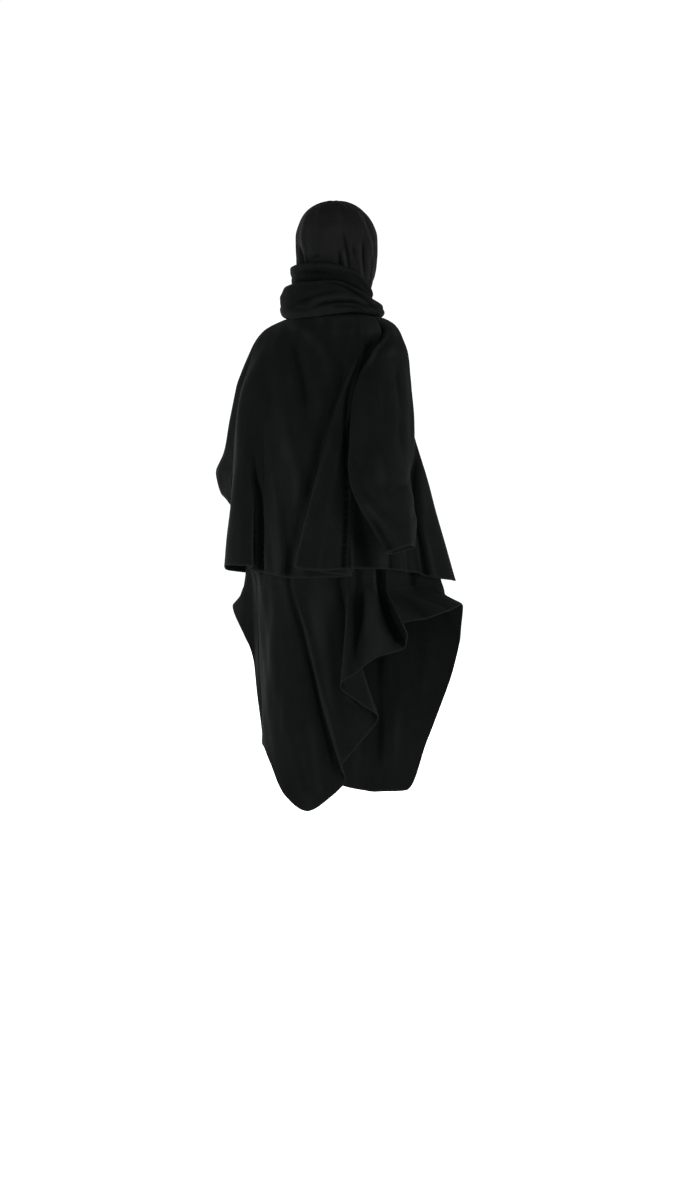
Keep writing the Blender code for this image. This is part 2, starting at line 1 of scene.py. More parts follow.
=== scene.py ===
"""Looks of the scarf coat: thin cloth walls on the frame's forms, with their creases, nap and edges.

The coat hangs round an upright axis. Angles are in degrees round that axis: 0 is the centre back,
90 the coat's own right side, -90 its left side and 180 the centre front. Tables are in millimetres
and drops count down from the shoulder line. The front faces -Y.
"""

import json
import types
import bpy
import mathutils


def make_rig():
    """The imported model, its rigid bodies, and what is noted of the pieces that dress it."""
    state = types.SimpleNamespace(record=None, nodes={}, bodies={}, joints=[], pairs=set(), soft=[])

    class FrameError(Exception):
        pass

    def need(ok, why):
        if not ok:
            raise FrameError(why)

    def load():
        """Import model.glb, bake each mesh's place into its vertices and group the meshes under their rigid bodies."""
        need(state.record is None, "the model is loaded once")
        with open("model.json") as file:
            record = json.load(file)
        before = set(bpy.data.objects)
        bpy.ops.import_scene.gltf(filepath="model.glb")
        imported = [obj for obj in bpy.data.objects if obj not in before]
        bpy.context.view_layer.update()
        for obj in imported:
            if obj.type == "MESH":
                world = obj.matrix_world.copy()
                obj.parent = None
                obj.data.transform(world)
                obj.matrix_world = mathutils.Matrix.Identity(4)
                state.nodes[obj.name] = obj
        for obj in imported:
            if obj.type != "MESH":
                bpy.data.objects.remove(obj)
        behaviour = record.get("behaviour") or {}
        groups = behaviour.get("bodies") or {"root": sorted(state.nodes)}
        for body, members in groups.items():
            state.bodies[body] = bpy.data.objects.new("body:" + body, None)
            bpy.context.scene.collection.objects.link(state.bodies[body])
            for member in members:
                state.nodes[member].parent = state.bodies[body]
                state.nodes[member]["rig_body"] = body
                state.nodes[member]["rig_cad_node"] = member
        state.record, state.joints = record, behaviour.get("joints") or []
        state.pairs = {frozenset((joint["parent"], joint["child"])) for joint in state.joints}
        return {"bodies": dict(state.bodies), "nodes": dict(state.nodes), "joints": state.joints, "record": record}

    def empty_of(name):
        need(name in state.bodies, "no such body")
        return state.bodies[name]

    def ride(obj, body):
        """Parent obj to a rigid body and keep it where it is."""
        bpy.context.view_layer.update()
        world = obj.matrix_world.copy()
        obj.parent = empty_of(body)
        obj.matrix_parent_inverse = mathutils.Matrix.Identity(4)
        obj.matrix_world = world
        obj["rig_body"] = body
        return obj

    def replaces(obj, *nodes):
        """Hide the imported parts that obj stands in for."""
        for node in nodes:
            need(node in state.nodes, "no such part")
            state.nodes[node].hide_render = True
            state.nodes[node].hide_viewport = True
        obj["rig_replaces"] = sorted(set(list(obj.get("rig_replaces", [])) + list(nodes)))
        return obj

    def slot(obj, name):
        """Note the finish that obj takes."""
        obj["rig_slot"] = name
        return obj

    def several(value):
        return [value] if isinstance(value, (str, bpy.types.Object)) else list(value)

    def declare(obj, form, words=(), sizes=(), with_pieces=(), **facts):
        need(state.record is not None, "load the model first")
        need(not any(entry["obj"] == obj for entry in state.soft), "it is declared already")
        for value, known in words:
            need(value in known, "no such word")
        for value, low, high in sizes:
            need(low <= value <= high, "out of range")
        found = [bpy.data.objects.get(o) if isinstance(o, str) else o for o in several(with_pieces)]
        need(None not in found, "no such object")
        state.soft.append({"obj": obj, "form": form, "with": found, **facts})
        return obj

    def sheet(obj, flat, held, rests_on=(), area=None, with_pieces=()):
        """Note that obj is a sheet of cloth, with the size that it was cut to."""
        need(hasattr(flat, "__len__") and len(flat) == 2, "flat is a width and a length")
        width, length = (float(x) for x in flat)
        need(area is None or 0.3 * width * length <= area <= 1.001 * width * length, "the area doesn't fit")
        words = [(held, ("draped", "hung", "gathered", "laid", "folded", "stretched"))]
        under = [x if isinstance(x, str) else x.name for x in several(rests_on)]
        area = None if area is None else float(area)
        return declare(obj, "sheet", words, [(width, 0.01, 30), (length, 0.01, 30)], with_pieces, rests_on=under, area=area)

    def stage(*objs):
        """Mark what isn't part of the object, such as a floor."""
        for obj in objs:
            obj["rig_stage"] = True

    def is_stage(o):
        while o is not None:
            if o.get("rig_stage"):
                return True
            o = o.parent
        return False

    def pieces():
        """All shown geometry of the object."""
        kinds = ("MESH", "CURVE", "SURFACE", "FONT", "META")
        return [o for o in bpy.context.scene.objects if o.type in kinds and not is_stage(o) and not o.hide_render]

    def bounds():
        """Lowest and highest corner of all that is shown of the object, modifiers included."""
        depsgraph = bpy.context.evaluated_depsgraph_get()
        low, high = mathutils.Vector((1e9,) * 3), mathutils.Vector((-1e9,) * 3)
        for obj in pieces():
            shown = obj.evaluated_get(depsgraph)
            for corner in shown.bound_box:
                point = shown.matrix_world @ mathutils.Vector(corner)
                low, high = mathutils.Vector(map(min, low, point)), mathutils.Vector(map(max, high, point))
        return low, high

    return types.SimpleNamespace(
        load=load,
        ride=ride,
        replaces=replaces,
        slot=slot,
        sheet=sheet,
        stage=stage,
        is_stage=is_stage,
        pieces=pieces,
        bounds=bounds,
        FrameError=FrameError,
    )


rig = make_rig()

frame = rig.load()
CAD_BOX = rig.bounds()

import json
import math

import bpy
import numpy as np
from mathutils import Vector

bl_info = {
    "name": "Scarf Coat",
    "version": (1, 0, 0),
    "blender": (4, 5, 0),
    "location": "View3D > Sidebar > Scarf Coat",
    "description": "Dresses a worn scarf coat: two tiers, deep sleeves, a wound scarf and a hood",
    "category": "Object",
}

MM = 0.001
BODY = "root"
SIZE_FILE = "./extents.json"
FLOOR_HEIGHT = -1.55

# ---------------------------------------------------------------------------------------------
# Form of the coat, as its solids have it
# ---------------------------------------------------------------------------------------------
WRAP_FOOT = 70.0
SEAT_GAP = 0.9
TIER_MARGIN = 0.3   # added to the seat gap where the lower tier hangs inside the upper one
NECK_HEIGHT = 52.0
SEAM_GAP = 0.3
SEAM_OVERLAP = 0.7
UNDERARM_DROP = 360.0
SLEEVE_STEPS = 20   # columns of a sleeve from one of its stated points to the next
UPPER_DROPS = (-52.0, -44.0, -22.0, 4.0, 50.0, 110.0, 185.0, 270.0, 315.0, 360.0)
DRAPE_SEAM_DROP = 470.0
DRAPE_WAIST_DROP = 585.0
DRAPE_COVERED_DROPS = (470.0, 495.0, 520.0, 545.0, 570.0)
DRAPE_FREE_DROPS = (574.0, 640.0)
CHEST_DROP = 130.0
WAIST_DROP = 300.0

# Ovals of the yoke: height, half widths at the left and right, depths at the back and front.
YOKE = (
    (52, 84, 84, 84, 84),
    (44, 127, 128, 99, 99),
    (22, 170, 156, 111, 110),
    (0, 190, 166, 120, 115),
)

# Folds of the upper tier: angle in the yoke, then angle and radius at chest, waist and hem.
BACK_FOLDS = (
    # name            yoke  chest        waist        hem          hem drop
    ("left ridge", -62, -57, 217, -53, 238, -60.6, 262, 541),
    ("tube face", -54, -49, 204, -45, 229, -47, 240, 542),
    ("tube edge", -47, -43, 191, -41, 211, -40, 208, 545),
    ("tube curl", -43.5, -40, 184, -38.5, 199, -50, 206, 551),
    ("left valley", -40, -36, 178, -34, 191, -42.5, 186, 557),
    ("left recess", -24, -22, 167, -20, 193, -20, 192, 567),
    ("centre recess", -4, -4, 158, -3, 190, -2.6, 187, 573),
    ("right recess", 16, 12, 154, 8, 186, 18, 183, 572),
    ("recess turn", 38, 29, 150, 13, 181, 37, 187, 569),
    ("pleat return", 41.5, 31, 153, 14.5, 185, 22, 196, 563),
    ("cone edge", 45, 33, 161, 16, 194, 0.5, 222, 546),
    ("cone left", 48.5, 37, 170, 21, 206, 8.5, 232, 554),
    ("cone right", 52, 42, 169, 27, 205, 20, 229, 556),
    ("cone valley", 55.5, 46, 159, 33, 190, 31, 213, 552),
    ("strip crest", 58.5, 48, 160, 35.5, 191, 36, 218, 550),
    ("strip turn", 61.5, 50, 160, 38, 190, 43, 201, 550),
    ("under arm", 65, 52, 162, 41, 187, 51, 189, 551),
    ("arm hollow", 69, 54, 164, 45, 184, 64, 193, 552),
)
RIGHT_FRONT_FOLDS = (
    ("side hollow", 112, 106, 166, 99, 172, 97, 202, 560),
    ("flare start", 116, 112, 166, 108, 184, 108, 244, 572),
    ("flare crest", 120, 119, 170, 120.5, 214, 121, 295, 577),
    ("flare back", 128, 130, 160, 133, 212, 134, 284, 570),
    ("front hollow", 148, 150, 145, 150, 188, 152, 232, 562),
    ("front edge", 180, 180, 138, 180, 172, 180, 205, 560),
)
LEFT_FRONT_FOLDS = (
    ("front edge", -180, -180, 138, -180, 172, -180, 205, 560),
    ("front hollow", -148, -150, 148, -151, 182, -152, 216, 562),
    ("front crest", -130, -130, 165, -130, 190, -131, 236, 566),
    ("side hollow", -110, -112, 196, -112, 196, -112, 226, 562),
)

# Seams of the sleeves on the body: drop, angle and radius of the back seam and of the front seam.
RIGHT_ARMHOLE = (
    (-52, 74, 84, 102, 84),
    (-44, 74, 120, 102, 124),
    (-22, 74, 144, 102, 150),
    (0, 73, 154, 102, 162),
    (60, 66, 163, 103, 168),
    (130, 59, 167, 101, 169),
    (210, 56, 180, 97, 168),
    (300, 58, 179, 86, 169),
    (360, 70, 173, 70, 173),
)
LEFT_ARMHOLE = (
    (-52, -74, 84, -102, 84),
    (-44, -73, 125, -102, 118),
    (-22, -73, 171, -102, 153),
    (0, -72, 186, -103, 172),
    (60, -70, 206, -104, 194),
    (130, -66, 224, -106, 204),
    (210, -66, 234, -103, 208),
    (300, -67, 241, -90, 224),
    (360, -76, 246, -76, 246),
)
RIGHT_SIDE_FOOT = (556, 80, 199)
LEFT_SIDE_FOOT = (552, -75, 264)

# Sleeves: open rows level with UPPER_DROPS, then closed rows down the forearm.
RIGHT_CAP = (
    # back tip   outer back  outer      front: each angle, radius
    ((81, 84), (86, 84), (90, 84), (95, 84)),
    ((81, 123), (87, 125), (91, 126), (96, 126)),
    ((78, 152), (86, 158), (92, 159), (97, 157)),
    ((70, 167), (80, 176), (90, 176), (97, 171)),
    ((55, 182), (66, 198), (84, 197), (98, 185)),
    ((42, 191), (58, 209), (80, 206), (100, 189)),
    ((36, 209), (54, 227), (78, 217), (100, 193)),
    ((34, 226), (52, 247), (74, 229), (94, 197)),
    ((33, 234), (51, 256), (71, 236), (88, 197)),
    ((34, 242), (50, 263), (68, 246), (82, 209)),
)
RIGHT_FOREARM = (
    # inside          back tip         outer back       outer            front
    ((66, 194, -405), (38, 244, -405), (52, 268, -400), (66, 264, -400), (77, 232, -402)),
    ((64, 205, -460), (46, 242, -460), (56, 266, -455), (66, 272, -450), (76, 246, -452)),
    ((64, 214, -518), (55, 238, -517), (59, 260, -508), (66, 270, -498), (75, 246, -502)),
)
LEFT_CAP = (
    ((-81, 84), (-86, 84), (-90, 84), (-95, 84)),
    ((-80, 125), (-86, 124), (-91, 123), (-96, 121)),
    ((-78, 173), (-86, 172), (-92, 168), (-97, 161)),
    ((-78, 196), (-86, 200), (-93, 197), (-98, 187)),
    ((-76, 216), (-84, 223), (-94, 220), (-101, 207)),
    ((-74, 240), (-84, 246), (-96, 243), (-104, 225)),
    ((-74, 253), (-85, 262), (-98, 262), (-106, 240)),
    ((-76, 267), (-86, 283), (-99, 286), (-107, 262)),
    ((-78, 276), (-86, 306), (-100, 308), (-110, 282)),
    ((-81, 274), (-88, 298), (-102, 304), (-113, 284)),
)
LEFT_FOREARM = (
    ((-98, 248, -405), (-90, 274, -395), (-96, 299, -380), (-106, 306, -378), (-116, 292, -390)),
    ((-108, 257, -448), (-100, 280, -430), (-104, 301, -410), (-112, 307, -402), (-119, 297, -422)),
    ((-116, 267, -485), (-109, 281, -462), (-110, 300, -440), (-116, 305, -428), (-121, 298, -454)),
)

# Each sleeve: its node and pattern, and whether its grid runs the other way round.
SLEEVES = (
    ("right_sleeve", RIGHT_ARMHOLE, RIGHT_SIDE_FOOT, RIGHT_CAP, RIGHT_FOREARM, False),
    ("left_sleeve", LEFT_ARMHOLE, LEFT_SIDE_FOOT, LEFT_CAP, LEFT_FOREARM, True),
)

# Folds of the lower tier: angle at its seam, then angle and radius below the upper hem and at its
# own. Two panels that are sewn together share the row of their seam.
LEFT_EDGE = ("left edge", -62, -63.5, 184, -65, 172, 962)
DIAGONAL_HOLLOW = ("diagonal hollow", -10, -10.5, 180, 25.5, 178, 1074)
RIGHT_WING = ("right wing", 112, 118, 260, 110, 309, 632)
DRAPE_BACK_FOLDS = (
    # name            seam  waist        hem          hem drop
    LEFT_EDGE,
    ("left run", -38, -38, 178, -48, 174, 972),
    ("left slope", -29, -28, 180, -31, 181, 1008),
    ("left foot", -23, -22.5, 181, -19, 188, 1056),
    ("low left", -17, -17, 182, -9, 194, 1084),
    ("lowest point", -13, -13.5, 182, 6.6, 198, 1113),
    DIAGONAL_HOLLOW,
)
CASCADE_FOLDS = (
    DIAGONAL_HOLLOW,
    ("first turn", -8.5, -8.8, 179, 33.5, 172, 1046),
    ("first return", -7, -7.4, 180, 32, 184, 1030),
    ("first edge", -5, -5.6, 182, 29.5, 196, 1012),
    ("first face", 12, 12, 178, 42, 198, 957),
    ("second turn", 28, 28.5, 162, 54.5, 205, 900),
    ("second return", 32, 32, 170, 42, 214, 865),
    ("second edge", 36, 35.5, 184, 28.5, 221, 823),
    ("second hollow", 44, 44, 166, 37, 231, 793),
    ("second crest", 53, 53, 180, 49, 240, 757),
    ("third turn", 62, 64, 162, 70, 234, 733),
    ("third return", 66, 66.5, 173, 68, 248, 706),
    ("third edge", 70, 67.5, 185, 63, 260, 678),
    ("third face", 80, 79, 186, 77, 278, 664),
    ("third rise", 95, 97, 190, 94, 293, 645),
    RIGHT_WING,
)
DRAPE_RIGHT_FRONT_FOLDS = (
    RIGHT_WING,
    ("wing fall", 122, 124, 262, 124.5, 304, 730),
    ("far slope", 132, 133, 242, 135, 290, 846),
    ("far hem", 142, 142, 218, 146.5, 267, 968),
    ("far foot", 154, 153, 200, 160, 249, 1092),
    ("centre front", 180, 180, 186, 180, 226, 1098),
)
DRAPE_LEFT_FRONT_FOLDS = (
    ("centre front", -180, -180, 186, -180, 226, 1098),
    ("front run", -156, -156, 184, -160, 208, 1082),
    ("front slope", -134, -132, 196, -140, 206, 1020),
    ("side slope", -112, -108, 204, -114, 216, 860),
    ("left wing", -90, -88, 236, -90, 272, 634),
    ("wing hollow", -76, -76, 200, -77, 197, 775),
    LEFT_EDGE,
)

# Hood: height, half width, depth at the back and at the front, shift of the centre to the back.
HOOD = (
    (68, 60, 60, 58, 0),
    (100, 80, 80, 78, -2),
    (140, 92, 93, 90, -8),
    (175, 96, 101, 96, -14),
    (210, 97, 107, 99, -17),
    (245, 96, 108, 98, -17),
    (275, 87, 101, 90, -16),
    (300, 71, 84, 74, -13),
    (318, 47, 56, 50, -10),
    (326, 25, 30, 27, -8),
    (329, 0, 0, 0, -6),
)
HOOD_FOLDS = (
    # angle  half width deg  depth  lowest  highest height
    (12, 7, -4, 68, 235),
    (34, 6, -4.5, 68, 235),
    (-38, 7, -5, 68, 295),
    (-62, 7, -3.5, 68, 250),
    (58, 7, -4, 68, 240),
    (-95, 8, -4, 68, 230),
)
FACE_OPENING = {"height": 216.0, "half_height": 76.0, "half_width": 64.0, "depth": 45.0}

# The two wound stretches of the scarf: angle, lowest and highest edge, thickness or outer radius.
UPPER_WRAP = (
    (-180, 92, 150, 13),
    (-120, 98, 166, 13),
    (-65, 100, 172, 12.5),
    (-10, 100, 171, 13),
    (25, 98, 166, 13),
    (55, 88, 150, 12),
    (85, 78, 124, 11),
    (120, 72, 106, 11),
    (150, 80, 128, 12),
    (180, 92, 150, 13),
)
LOWER_WRAP = (
    (-180, 49, 116, 128),
    (-120, 50, 122, 130),
    (-65, 49, 122, 130),
    (-20, 39, 124, 126),
    (25, 46, 125, 124),
    (55, 52, 106, 122),
    (85, 50, 88, 122),
    (115, 50, 84, 121),
    (150, 50, 98, 124),
    (180, 49, 116, 128),
)

# ---------------------------------------------------------------------------------------------
# Creases, by piece and by the azimuth they are seen from (0 is the front, 180 the back). Each has
# its half width and its points as that side shows them: how far right of the axis, how far below
# the shoulder, and its height there (a ridge is above 0, a trough below).
# ---------------------------------------------------------------------------------------------
MAIN_SIDE = 205
OTHER_SIDES = 1.5   # creases seen from any other side are pressed this many times as deep
# the shadow under the long diagonal edge, on both panels that meet there
DIAGONAL_SHADOW = (7, ((-108, 570, -5), (-92, 640, -7), (-75, 699, -8), (-60, 760, -8), (-45, 821, -7),
                       (-27, 900, -6), (-8, 975, -4), (6, 1030, 0)))
CREASES = {
    ("back_panel", MAIN_SIDE): (
        # beside the tube fold, and the ridge down its face
        (5, ((-190, 262, 0), (-184, 330, -5), (-173, 393, -8), (-171, 552, -10))),
        (6, ((-200, 280, 0), (-197, 340, 2), (-188, 400, 3), (-186, 552, 3))),
        (9, ((-206, 70, 0), (-222, 164, 2.5), (-231, 255, 3), (-239, 343, 2.5), (-250, 520, 1))),
        (12, ((-214, 360, 0), (-208, 440, -1.5), (-212, 540, -2))),
        # the big cone: shadow beside it, its edge, its valley and the strip on the right
        (13, ((62, 6, 0), (28, 99, -2), (-12, 193, -3), (-42, 298, -4), (-70, 388, -4), (-108, 552, -3))),
        (5, ((66, 24, 0), (52, 70, 4), (36, 110, 5), (6, 193, 4), (-23, 298, 2.6), (-50, 388, 1.6),
             (-88, 540, 1))),
        (20, ((56, 370, 0), (68, 440, -10), (80, 500, -15), (88, 556, -16))),
        (15, ((42, 380, 0), (50, 430, -6), (58, 490, -11), (62, 556, -13))),
        (6, ((66, 60, 0), (45, 104, -3), (31, 164, -6), (28, 228, -7), (30, 365, -8), (22, 549, -7))),
        (7, ((41, 420, 0), (37, 490, -8), (34, 556, -9))),
        (9, ((10, 260, 0), (-2, 340, 1.5), (-18, 430, 2), (-34, 552, 2))),
        # soft swings over the shoulder blades
        (18, ((-62, -20, 0), (-34, 40, 1.8), (-29, 120, 1.6), (-34, 210, 0))),
        (22, ((-100, 0, 0), (-86, 90, -1.5), (-80, 190, -1.4), (-90, 280, 0))),
        (16, ((-122, 60, 0), (-113, 150, 1.5), (-110, 240, 1.3), (-120, 330, 0))),
        (15, ((-152, 30, 0), (-149, 130, -1.4), (-141, 230, -1.6), (-150, 330, 0))),
        (12, ((10, -30, 0), (18, 20, -2), (12, 90, -1.8), (0, 150, 0))),
        (9, ((40, -34, 0), (42, 10, 1.8), (34, 60, 0))),
        (5, ((60, -32, 0), (64, -4, 3), (67, 40, 3), (68, 84, 0))),
        (9, ((104, -12, 0), (93, 10, -2.6), (81, 32, -5), (73, 60, -3), (70, 84, 0))),
        # falls towards the hem
        (18, ((-52, 330, 0), (-72, 420, -2), (-112, 560, -3))),
        (15, ((-132, 370, 0), (-130, 470, 1.6), (-134, 560, 2))),
        (12, ((-88, 300, 0), (-92, 380, 1.6), (-100, 450, 0))),
        (11, ((-158, 420, 0), (-153, 500, -1.4), (-152, 560, -1.8))),
    ),
    ("back_panel", 250): (
        (8, ((-10, 400, 0), (-6, 470, -3), (-4, 548, -3.5))),
        (10, ((22, 380, 0), (26, 460, 2), (30, 548, 2.6))),
    ),
    ("back_panel", 150): (
        # from the neck to the left shoulder
        (11, ((-30, -40, 0), (10, -20, 2), (60, 10, 1.6), (100, 60, 0))),
        (12, ((0, 0, 0), (40, 60, -2.2), (80, 150, -2.4), (104, 260, 0))),
    ),
    ("back_panel", 140): (
        (16, ((96, 240, 0), (116, 330, 2.4), (124, 440, 3), (128, 530, 2))),
        (11, ((60, 300, 0), (80, 390, -2.4), (90, 480, -3), (92, 548, -3))),
    ),
    ("right_front", MAIN_SIDE): (
        (10, ((208, 230, 0), (200, 300, -8), (194, 350, -12), (197, 420, -14), (206, 490, -13),
              (217, 556, -8))),
    ),
    ("right_front", 0): (
        (17, ((-36, -30, 0), (-44, 90, -2.6), (-40, 220, -3.2), (-54, 400, -2.2), (-68, 556, -3))),
        (15, ((-84, 20, 0), (-80, 160, 2.6), (-92, 300, 2.6), (-112, 556, 3.2))),
        (10, ((-128, 10, 0), (-104, 70, -2.8), (-72, 140, -1.8), (-50, 190, 0))),
        (9, ((-110, 150, 0), (-88, 200, 1.8), (-62, 250, 0))),
        (12, ((-14, 250, 0), (-18, 360, 1.8), (-20, 556, 2.4))),
    ),
    ("right_front", 315): (
        (12, ((-30, 240, 0), (-40, 340, -2), (-52, 450, -2.2), (-60, 566, -2))),
        (12, ((-70, 330, 0), (-96, 420, 3), (-118, 566, 3.4))),
    ),
    ("right_front", 290): (
        (9, ((-60, 390, 0), (-66, 460, -1.6), (-76, 556, -2))),
        (8, ((-20, 420, 0), (-26, 490, 1.2), (-34, 566, 1.4))),
    ),
    ("left_front", 0): (
        (16, ((34, -30, 0), (38, 70, -2.4), (48, 190, -3), (44, 330, -2), (60, 560, -3.2))),
        (14, ((76, 0, 0), (86, 120, 2.6), (80, 260, 2.2), (98, 420, 2.6), (104, 560, 3))),
        (11, ((130, 20, 0), (100, 84, -2.8), (66, 170, -2), (40, 230, 0))),
        (9, ((120, 120, 0), (96, 170, 1.8), (70, 230, 0))),
        (12, ((14, 200, 0), (20, 330, 1.6), (16, 556, 2.2))),
    ),
    ("left_front", 40): (
        (13, ((10, 120, 0), (22, 240, -3), (14, 380, -3), (26, 560, -3.6))),
        (12, ((60, 200, 0), (66, 320, 2.6), (72, 440, 2.8), (76, 560, 3))),
    ),
    ("right_sleeve", MAIN_SIDE): (
        # the raglan fold and the recess beside it
        (5, ((130, -20, 0), (117, 14, 2), (97, 44, 5), (81, 76, 4), (62, 104, 0))),
        (15, ((112, 50, 0), (120, 140, -2.2), (110, 230, -2.6), (118, 300, 0))),
        (16, ((150, 30, 0), (158, 130, 2.2), (150, 230, 2.2), (152, 300, 0))),
        (13, ((72, 130, 0), (66, 200, 2), (62, 270, 2), (70, 330, 0))),
        # the bend of the arm
        (28, ((80, 250, 0), (100, 316, 3.2), (140, 362, 3), (172, 404, 0))),
        (13, ((44, 326, 0), (76, 384, -2.6), (120, 430, -2), (160, 456, 0))),
        (9, ((56, 380, 0), (92, 424, 2.6), (130, 466, 2.2), (152, 500, 0))),
        (8, ((76, 420, 0), (104, 462, -3.2), (128, 505, -2.4))),
    ),
    ("right_sleeve", 270): (
        (14, ((-56, 30, 0), (-66, 130, -3), (-88, 230, -2.6), (-100, 300, 0))),
        (12, ((4, 50, 0), (-4, 150, 2.2), (-22, 250, 2.6), (-40, 330, 0))),
        (12, ((0, 290, 0), (-46, 336, -1.6), (-110, 366, -1.4), (-150, 378, 0))),
        (12, ((-20, 340, 0), (-64, 382, 1.4), (-116, 408, 1.2), (-146, 416, 0))),
        (11, ((-40, 392, 0), (-80, 426, -1.4), (-124, 448, -1.2), (-146, 456, 0))),
    ),
    ("right_sleeve", 330): (
        (11, ((-150, 30, 0), (-160, 120, -2.4), (-150, 220, -2.6), (-140, 300, 0))),
    ),
    ("left_sleeve", 90): (
        (13, ((58, 50, 0), (48, 150, -3), (30, 240, -2.2), (12, 300, 0))),
        (12, ((-28, 40, 0), (-38, 140, 2.6), (-50, 230, 2), (-62, 300, 0))),
        (9, ((24, 296, 0), (-20, 326, -4), (-70, 346, -3), (-112, 352, 0))),
        (9, ((30, 340, 0), (-10, 366, 3.2), (-60, 380, 2.6), (-104, 384, 0))),
        (8, ((-6, 384, 0), (-50, 402, -3.2), (-104, 410, -2.4), (-146, 408, 0))),
    ),
    ("left_sleeve", 40): (
        (12, ((120, 40, 0), (130, 130, -2.6), (140, 220, -2.2), (150, 290, 0))),
        (9, ((150, 270, 0), (170, 320, 3), (200, 350, 2.2), (220, 362, 0))),
    ),
    ("left_sleeve", 150): (
        (12, ((150, 60, 0), (166, 150, 2.6), (178, 240, 2.4), (190, 320, 0))),
        (9, ((150, 250, 0), (176, 300, -2.8), (206, 330, -2), (230, 340, 0))),
    ),
    ("left_sleeve", MAIN_SIDE): (
        (7, ((-246, 150, 0), (-262, 250, 2), (-276, 330, 2.4), (-270, 380, 0))),
    ),
    ("drape_back", MAIN_SIDE): (
        DIAGONAL_SHADOW,
        (18, ((-152, 590, 0), (-142, 700, 2.8), (-118, 850, 2.8), (-84, 1000, 1))),
        (15, ((-124, 600, -2), (-108, 720, -2.8), (-84, 860, -2.2), (-62, 980, 0))),
        (12, ((-60, 860, 0), (-46, 960, 2.2), (-34, 1060, 2.6))),
        (10, ((-104, 900, 0), (-84, 980, -2), (-66, 1060, -2.2))),
    ),
    ("drape_back", 150): (
        (14, ((30, 600, 0), (34, 720, -1.6), (40, 840, -1.4), (30, 960, 0))),
    ),
    ("drape_cascade", MAIN_SIDE): (
        DIAGONAL_SHADOW,
        (5, ((-96, 590, 1), (-66, 699, 3.4), (-36, 821, 3.4), (-14, 900, 3), (10, 990, 1))),
        (8, ((66, 560, -4), (61, 655, -6), (50, 721, -4), (44, 770, 0))),
        (9, ((108, 560, -5), (122, 649, -6), (146, 715, -4))),
        (12, ((88, 600, 1), (96, 660, 2.6), (100, 730, 2))),
        (15, ((-62, 590, 0), (-40, 690, 2.6), (-18, 800, 2.6), (6, 930, 1))),
        (12, ((-10, 640, 0), (0, 740, -2.4), (14, 850, -2), (24, 930, 0))),
        (9, ((30, 600, 0), (34, 680, 2), (30, 760, 1.4), (28, 800, 0))),
        (3.5, ((18, 843, 1.2), (44, 862, 2.2), (66, 880, 1.4))),
    ),
    ("drape_cascade", 250): (
        (12, ((20, 600, 0), (24, 650, -1.6), (30, 700, -1.6))),
    ),
    ("drape_cascade", 270): (
        (13, ((0, 560, 0), (6, 610, -1.4), (14, 650, -1.6))),
        (12, ((50, 560, 0), (60, 600, 1.4), (76, 640, 1.4))),
    ),
    ("drape_right_front", 25): (
        (16, ((-196, 640, 0), (-204, 780, 1.8), (-206, 880, 1.6), (-184, 980, 1))),
        (13, ((-232, 640, 0), (-232, 730, -1.8), (-222, 820, -1.8), (-200, 920, -1))),
        (13, ((-160, 620, 0), (-166, 760, -1.6), (-164, 900, -1.5), (-150, 1020, -1))),
        (12, ((-110, 600, 0), (-118, 760, 1.5), (-116, 930, 1.6), (-104, 1080, 1))),
    ),
    ("drape_right_front", 0): (
        (15, ((-60, 590, 0), (-64, 760, -1.6), (-70, 930, -1.8), (-66, 1090, -1.4))),
        (13, ((-22, 590, 0), (-28, 780, 1.2), (-24, 960, 1.3), (-30, 1096, 1.2))),
    ),
    ("drape_right_front", 270): (
        (16, ((150, 560, 0), (160, 640, 3), (170, 740, 3), (168, 820, 1))),
    ),
    ("drape_left_front", 0): (
        (15, ((28, 590, 0), (34, 760, -1.8), (30, 940, -1.8), (38, 1096, -1.6))),
        (14, ((74, 590, 0), (80, 740, 3), (78, 900, 3), (84, 1060, 2.4))),
    ),
    ("drape_left_front", 30): (
        (13, ((60, 590, 0), (66, 740, -3), (60, 880, -3.4), (66, 1010, -2))),
    ),
    ("drape_left_front", 60): (
        (13, ((60, 590, 0), (56, 680, 3), (50, 800, 2.6), (40, 900, 1))),
    ),
    ("drape_left_front", 90): (
        (11, ((-60, 590, 0), (-56, 670, -3), (-46, 760, -3), (-36, 830, -2))),
        (10, ((20, 590, 0), (24, 640, 2.4), (30, 720, 2))),
    ),
    ("scarf_lower_wrap", MAIN_SIDE): (
        # the fold that crosses the back, and the turn of the scarf over it
        (4, ((-58, -56, 0), (-33, -68, -5), (0, -74, -6), (40, -76, -6), (70, -68, -3), (88, -58, 0))),
        (3.5, ((-10, -60, 0), (20, -64, -4), (50, -62, -4), (76, -54, 0))),
        (6, ((-70, -64, 0), (-36, -82, 2.4), (10, -88, 2.6), (56, -84, 2.2), (88, -72, 0))),
        (5, ((-30, -124, 0), (10, -118, -4), (40, -106, -6), (66, -90, -6), (88, -72, -4),
             (104, -58, 0))),
        (6, ((24, -120, 0), (52, -106, 3), (80, -86, 3.4), (104, -66, 1))),
        (16, ((-96, -100, 0), (-84, -84, -2.6), (-64, -78, -2.2), (-40, -84, 0))),
        (5, ((-112, -62, 0), (-80, -58, -2.6), (-50, -54, 0))),
    ),
    ("scarf_lower_wrap", 0): (
        (5, ((-96, -58, 0), (-50, -78, -2.6), (0, -86, -2.6), (56, -80, -2.4), (100, -64, 0))),
        (7, ((-80, -86, 0), (-30, -104, 1.6), (30, -106, 1.6), (90, -92, 0))),
    ),
    ("scarf_lower_wrap", 90): (
        (5, ((-96, -70, 0), (-40, -92, -2.4), (30, -84, -2.4), (90, -66, 0))),
        (6, ((-80, -98, 0), (-20, -108, 1.4), (50, -100, 1.4), (96, -86, 0))),
    ),
    ("scarf_lower_wrap", 270): (
